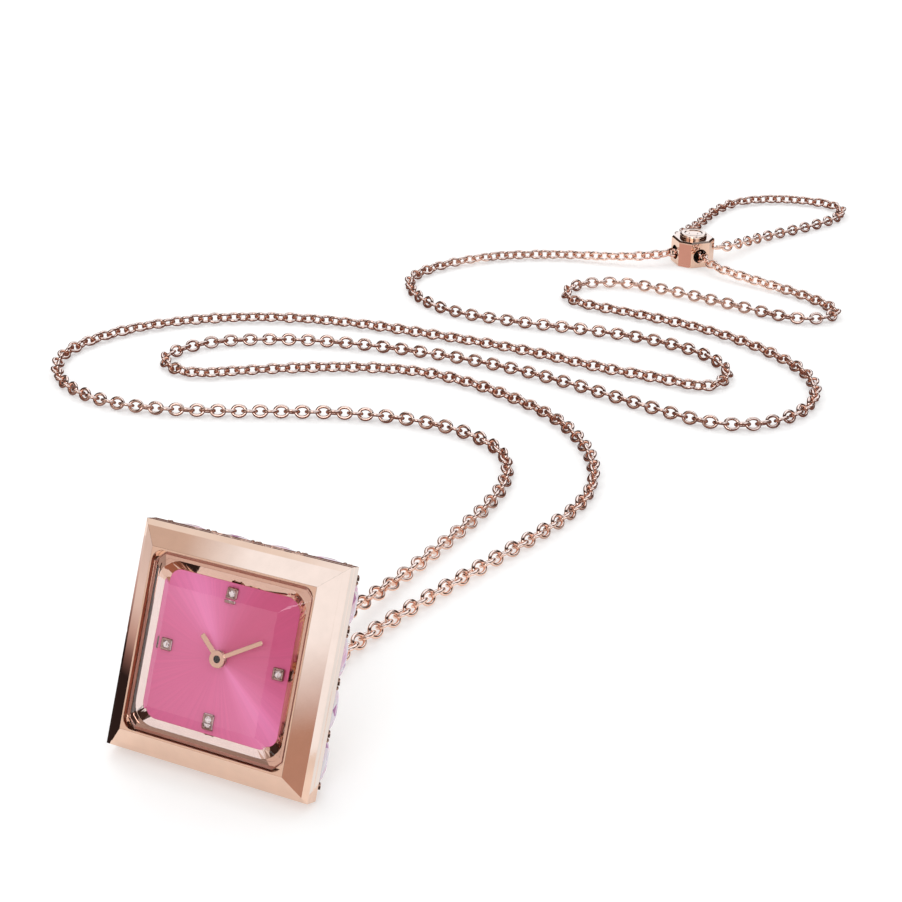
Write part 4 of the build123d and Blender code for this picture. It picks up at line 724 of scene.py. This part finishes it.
def add_cut_stone(vertices, faces, place, rings, steps, roundness):
    """Adds a cut stone: triangular facets between rings that are turned half a step, and a flat table."""
    first = len(vertices)
    for level, (half_length, half_width, height) in enumerate(rings):
        shift = 0.5 * max(0, level - 1)
        for step in range(steps):
            x, y = rounded_point(tau * (step + shift) / steps, half_length, half_width, roundness)
            vertices.append(place @ Vector((x, y, height)))
    for level in range(len(rings) - 1):
        low = first + level * steps
        high = low + steps
        for step in range(steps):
            following = (step + 1) % steps
            if level == 0:
                faces.append((low + step, low + following, high + following, high + step))
            else:
                faces.append((low + step, low + following, high + step))
                faces.append((low + following, high + following, high + step))
    top = first + (len(rings) - 1) * steps
    faces.append(tuple(top + step for step in range(steps)))
    faces.append(tuple(first + step for step in reversed(range(steps))))


def shoulder_places():
    """Where each stone sits on the shoulder: x along the side, z outwards."""
    slope = Vector((CASE_HALF - REAR_HALF, 0, SHOULDER_TOP - SHOULDER_BOTTOM)).normalized()
    outwards = Vector((slope.z, 0, -slope.x))
    middle = Vector(((CASE_HALF + REAR_HALF) / 2, 0, (SHOULDER_TOP + SHOULDER_BOTTOM) / 2))
    along = Vector((0, 1, 0))
    frame_axes = Matrix((along, outwards.cross(along), outwards)).transposed().to_4x4()
    places = []
    for side in range(SIDES):
        turned = CASE_PLACE @ Matrix.Rotation(tau * side / SIDES, 4, "Z")
        for index in range(STONES_PER_SIDE):
            shift = (index - (STONES_PER_SIDE - 1) / 2) * STONE_PITCH
            places.append(turned @ Matrix.Translation(middle + along * shift) @ frame_axes)
    return places


def add_bead(vertices, faces, place, radius, steps=GRAIN_STEPS, levels=GRAIN_LEVELS):
    """Adds a small round grain of metal, half sunk."""
    first = len(vertices)
    for level in range(levels):
        rise = pi / 2 * level / levels
        for step in range(steps):
            turn = tau * step / steps
            point = Vector((cos(turn) * cos(rise), sin(turn) * cos(rise), sin(rise))) * radius
            vertices.append(place @ point)
    vertices.append(place @ Vector((0, 0, radius)))
    vertices.append(place @ Vector((0, 0, -radius)))
    for step in range(steps):
        following = (step + 1) % steps
        for level in range(levels - 1):
            low = first + level * steps
            high = low + steps
            faces.append((low + step, low + following, high + following, high + step))
        last = first + (levels - 1) * steps
        faces.append((last + step, last + following, first + levels * steps))
        faces.append((first + following, first + step, first + levels * steps + 1))


def make_case_stones(materials):
    """The shoulder's stones with their finer facets, and the grains that hold their corners."""
    vertices, faces = [], []
    grain_vertices, grain_faces = [], []
    for place in shoulder_places():
        rings = [(STONE_LENGTH / 2 * share, STONE_WIDTH / 2 * share, height) for share, height in STONE_RINGS]
        add_cut_stone(vertices, faces, place, rings, STONE_STEPS, STONE_ROUNDNESS)
        for x_side in (-1, 1):
            for y_side in (-1, 1):
                corner = (x_side * STONE_LENGTH * PRONG_SHARE, y_side * STONE_WIDTH * PRONG_SHARE, 0)
                add_bead(grain_vertices, grain_faces, place @ Matrix.Translation(corner), PRONG_R)
    stones = mesh_piece("case_stones_cut", vertices, faces, materials["pink_stone"], "case")
    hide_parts("case_stones")
    mesh_piece("stone_grains", grain_vertices, grain_faces, materials["grain_metal"], "case",
               smooth=True)


def rounded_reach(turn, half, corner):
    """How far a square with rounded corners reaches in a direction."""
    x, y = abs(cos(turn)), abs(sin(turn))
    flat = half / max(x, y)
    if min(x, y) * flat <= half - corner:
        return flat
    along = (x + y) * (half - corner)
    return along + sqrt(along ** 2 - 2 * (half - corner) ** 2 + corner ** 2)


def cut_reach(turn, half, cut):
    """How far a square with cut corners reaches in a direction."""
    x, y = abs(cos(turn)), abs(sin(turn))
    return min(half / max(x, y), (2 * half - cut) / (x + y))


def make_sloping_ring(materials):
    """The polished ring from the glass down to the dial, with smoothly rounded inner corners."""
    vertices, faces = [], []
    for step in range(RING_STEPS):
        turn = tau * step / RING_STEPS
        foot = rounded_reach(turn, RING_FOOT_HALF, RING_FOOT_CORNER)
        top = rounded_reach(turn, RING_TOP_HALF, RING_TOP_CORNER)
        outer = cut_reach(turn, RING_OUTER_HALF, RING_OUTER_CUT)
        for reach, height in ((foot, DIAL_TOP), (top, RING_TOP), (outer, RING_TOP), (outer, DIAL_TOP)):
            vertices.append(CASE_PLACE @ Vector((cos(turn) * reach, sin(turn) * reach, height)))
    for step in range(RING_STEPS):
        here = step * RING_ROWS
        there = (step + 1) % RING_STEPS * RING_ROWS
        for row in range(RING_ROWS):
            following = (row + 1) % RING_ROWS
            faces.append((here + row, there + row, there + following, here + following))
    ring = mesh_piece("sloping_ring", vertices, faces, materials["rose_gold"], "case")
    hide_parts("flange_ring")


def widened_copy(name, new_name, material, share_at):
    """A copy of a node's surface with parts of its outline drawn further out from the dial's middle."""
    node = frame["nodes"][name]
    to_dial = CASE_PLACE.inverted() @ node.matrix_world
    vertices = []
    for vertex in node.data.vertices:
        place = to_dial @ vertex.co
        share = share_at(max(abs(place.x), abs(place.y)), place.z)
        place.x *= share
        place.y *= share
        vertices.append(CASE_PLACE @ place)
    faces = [tuple(polygon.vertices) for polygon in node.data.polygons]
    piece = mesh_piece(new_name, vertices, faces, material, "case")
    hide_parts(name)


def make_slim_lip(materials):
    """The bezel with its narrow lip round the glass, and the glass and gasket that fill it."""
    low, high = OPENING_REACH
    widened_copy("bezel", "slim_bezel", materials["rose_gold"],
                 lambda reach, height: OPENING_SHARE if low < reach < high and height > OPENING_FOOT else 1)
    widened_copy("crystal", "wide_crystal", materials["crystal_glass"],
                 lambda reach, height: GLASS_SHARE if height < GLASS_EDGE_TOP else 1)
    widened_copy("crystal_gasket", "wide_gasket", materials["gasket_amber"],
                 lambda reach, height: GLASS_SHARE if reach > GASKET_REACH else GASKET_INNER_SHARE)


def marker_places():
    """The four hour places on the dial."""
    places = []
    for side in range(SIDES):
        turned = CASE_PLACE @ Matrix.Rotation(tau * side / SIDES, 4, "Z")
        places.append(turned @ Matrix.Translation((0, MARKER_RADIUS, DIAL_TOP)))
    return places


def collet_profile(reach):
    """Radius and height of a setting in one direction, from its foot over its rim to its seat's floor."""
    half = MARKER_SIDE / 2
    return (
        (half * reach, 0),
        (half * reach, MARKER_HEIGHT * COLLET_EDGE_SHARE),
        (half * COLLET_TOP_SHARE * reach, MARKER_HEIGHT),
        (MARKER_SEAT_R, MARKER_HEIGHT),
        (MARKER_SEAT_R * COLLET_SEAT_SHARE, MARKER_HEIGHT * COLLET_FLOOR_SHARE),
    )


def add_collet(vertices, faces, place):
    """Adds a square setting with a round seat that narrows downwards."""
    first = len(vertices)
    for step in range(MARKER_STEPS):
        turn = tau * (step + 0.5) / MARKER_STEPS
        direction = Vector((cos(turn), sin(turn), 0))
        reach = 1 / max(abs(direction.x), abs(direction.y))
        profile = collet_profile(reach)
        for radius, height in profile:
            vertices.append(place @ (direction * radius + Vector((0, 0, height))))
    rows = len(profile)
    for step in range(MARKER_STEPS):
        here = first + step * rows
        there = first + (step + 1) % MARKER_STEPS * rows
        for row in range(rows - 1):
            faces.append((here + row, there + row, there + row + 1, here + row + 1))
        faces.append((here, here + rows - 1, there + rows - 1, there))


def make_markers(materials):
    """Square settings with a round cut stone and four grains each."""
    vertices, faces = [], []
    stone_vertices, stone_faces = [], []
    for place in marker_places():
        add_collet(vertices, faces, place)
        for x_side in (-1, 1):
            for y_side in (-1, 1):
                corner = (x_side * MARKER_PRONG_PLACE, y_side * MARKER_PRONG_PLACE, MARKER_HEIGHT)
                add_bead(vertices, faces, place @ Matrix.Translation(corner), MARKER_PRONG_R)
        rings = [(radius, radius, height) for radius, height in BRILLIANT_RINGS]
        add_cut_stone(stone_vertices, stone_faces, place, rings, BRILLIANT_STEPS, 2)
    settings = mesh_piece("marker_collets", vertices, faces, materials["setting_metal"], "case")
    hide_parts("marker_settings")
    stones = mesh_piece("marker_brilliants", stone_vertices, stone_faces, materials["marker_stone"],
                        "case")
    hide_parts("marker_stones")


def world_direction(azimuth, elevation):
    """The direction at an azimuth, clockwise from +Y, and an elevation, in degrees."""
    level = cos(radians(elevation))
    return Vector((sin(radians(azimuth)) * level, cos(radians(azimuth)) * level, sin(radians(elevation))))


def make_world():
    """Plain even light, white behind the object, and a studio for the metal to mirror."""
    world = bpy.data.worlds.new("studio")
    bpy.context.scene.world = world
    world.use_nodes = True
    nodes, links = world.node_tree.nodes, world.node_tree.links
    output = nodes["World Output"]
    plain = nodes["Background"]
    plain.inputs["Color"].default_value = (1, 1, 1, 1)
    plain.inputs["Strength"].default_value = WORLD_LIGHT
    white = nodes.new("ShaderNodeBackground")
    white.inputs["Color"].default_value = (1, 1, 1, 1)
    mirrored = nodes.new("ShaderNodeBackground")
    coordinates = nodes.new("ShaderNodeTexCoord")
    room = nodes.new("ShaderNodeRGB")
    room.outputs["Color"].default_value = ROOM_COLOUR
    colour = room.outputs["Color"]
    for azimuth, elevation, full, gone, spot_colour in STUDIO_SPOTS:
        dot = nodes.new("ShaderNodeVectorMath")
        dot.operation = "DOT_PRODUCT"
        dot.inputs[1].default_value = world_direction(azimuth, elevation)
        links.new(coordinates.outputs["Generated"], dot.inputs[0])
        share = map_range(nodes, links, dot.outputs["Value"], 0, 1, cos(radians(gone)), cos(radians(full)))
        mix = nodes.new("ShaderNodeMix")
        mix.data_type = "RGBA"
        mix.inputs["B"].default_value = spot_colour
        links.new(share, mix.inputs["Factor"])
        links.new(colour, mix.inputs["A"])
        colour = mix.outputs["Result"]
    links.new(colour, mirrored.inputs["Color"])
    path = nodes.new("ShaderNodeLightPath")
    first_mix = nodes.new("ShaderNodeMixShader")
    links.new(path.outputs["Is Glossy Ray"], first_mix.inputs["Fac"])
    links.new(plain.outputs["Background"], first_mix.inputs[1])
    links.new(mirrored.outputs["Background"], first_mix.inputs[2])
    seen = nodes.new("ShaderNodeMath")
    seen.operation = "MAXIMUM"
    links.new(path.outputs["Is Camera Ray"], seen.inputs[0])
    links.new(path.outputs["Is Transmission Ray"], seen.inputs[1])
    second_mix = nodes.new("ShaderNodeMixShader")
    links.new(seen.outputs["Value"], second_mix.inputs["Fac"])
    links.new(first_mix.outputs["Shader"], second_mix.inputs[1])
    links.new(white.outputs["Background"], second_mix.inputs[2])
    links.new(second_mix.outputs["Shader"], output.inputs["Surface"])


def stage_plane(name, low, high, level, material):
    """A flat rectangle of the stage."""
    data = bpy.data.meshes.new(name)
    outline = ((low[0], low[1]), (high[0], low[1]), (high[0], high[1]), (low[0], high[1]))
    data.from_pydata([(x, y, level) for x, y in outline], [], [(0, 1, 2, 3)])
    data.materials.append(material)
    plane = bpy.data.objects.new(name, data)
    bpy.context.scene.collection.objects.link(plane)
    return plane


def floor_material():
    """White matt table, with a little light of its own where it is seen, so that it is white there."""
    material, nodes, links, shader = new_material("table_white")
    shader.inputs["Base Color"].default_value = FLOOR_COLOUR
    shader.inputs["Roughness"].default_value = 0.9
    shader.inputs["Specular IOR Level"].default_value = 0.0
    glow = nodes.new("ShaderNodeEmission")
    glow.inputs["Strength"].default_value = FLOOR_GLOW
    total = nodes.new("ShaderNodeAddShader")
    links.new(shader.outputs["BSDF"], total.inputs[0])
    links.new(glow.outputs["Emission"], total.inputs[1])
    path = nodes.new("ShaderNodeLightPath")
    mix = nodes.new("ShaderNodeMixShader")
    links.new(path.outputs["Is Diffuse Ray"], mix.inputs["Fac"])
    links.new(total.outputs["Shader"], mix.inputs[1])
    links.new(shader.outputs["BSDF"], mix.inputs[2])
    links.new(mix.outputs["Shader"], nodes["Material Output"].inputs["Surface"])
    return material


def card_material(name, axis, stops):
    """A card whose own colour changes along X or Y, given as places in metres with a colour each."""
    material, nodes, links, shader = new_material(name)
    shader.inputs["Base Color"].default_value = (0, 0, 0, 1)
    shader.inputs["Roughness"].default_value = 1.0
    shader.inputs["Specular IOR Level"].default_value = 0.0
    coordinates = nodes.new("ShaderNodeTexCoord")
    split = nodes.new("ShaderNodeSeparateXYZ")
    links.new(coordinates.outputs["Object"], split.inputs["Vector"])
    place = map_range(nodes, links, split.outputs[axis], 0.0, 1.0, -CARD_REACH, CARD_REACH)
    shares = [((metres + CARD_REACH) / (2 * CARD_REACH), colour) for metres, colour in stops]
    links.new(colour_ramp(nodes, links, place, shares), shader.inputs["Emission Color"])
    shader.inputs["Emission Strength"].default_value = 1.0
    return material


def add_lamp(name, place, aim, side, power):
    """A square soft lamp that points at a place."""
    light = bpy.data.lights.new(name, "AREA")
    light.energy = power
    light.size = side
    lamp = bpy.data.objects.new(name, light)
    lamp.location = place
    lamp.rotation_euler = (Vector(aim) - Vector(place)).to_track_quat("-Z", "Y").to_euler()
    bpy.context.scene.collection.objects.link(lamp)
    return lamp


def make_stage():
    """The table, the cards beside the object and the two lamps."""
    stage_plane("table", (-FLOOR_HALF, -FLOOR_HALF), (FLOOR_HALF, FLOOR_HALF), FLOOR_LEVEL, floor_material())
    for name, (low, high, axis, stops) in CARDS.items():
        card = stage_plane(name, low, high, CARD_LEVEL, card_material(name, axis, stops))
        card.visible_camera = False
        card.visible_diffuse = False
        card.visible_transmission = False
        card.visible_shadow = False
    add_lamp("key", KEY_PLACE, KEY_AIM, KEY_SIDE, KEY_POWER).visible_glossy = False
    add_lamp("fill", FILL_PLACE, FILL_AIM, FILL_SIDE, FILL_POWER)


def make_camera():
    """The camera where the photograph was taken."""
    data = bpy.data.cameras.new("camera")
    data.lens = CAMERA_LENS
    data.sensor_width = CAMERA_SENSOR
    data.clip_start = CAMERA_CLIP
    camera = bpy.data.objects.new("camera", data)
    camera.location = CAMERA_PLACE
    camera.rotation_euler = CAMERA_TURN
    bpy.context.scene.collection.objects.link(camera)
    bpy.context.scene.camera = camera


bpy.context.scene.view_settings.view_transform = "Standard"
make_camera()
finishes = make_materials()
dress_nodes(finishes)
make_chain(finishes)
make_case_stones(finishes)
make_sloping_ring(finishes)
make_slim_lip(finishes)
make_markers(finishes)
make_world()
make_stage()
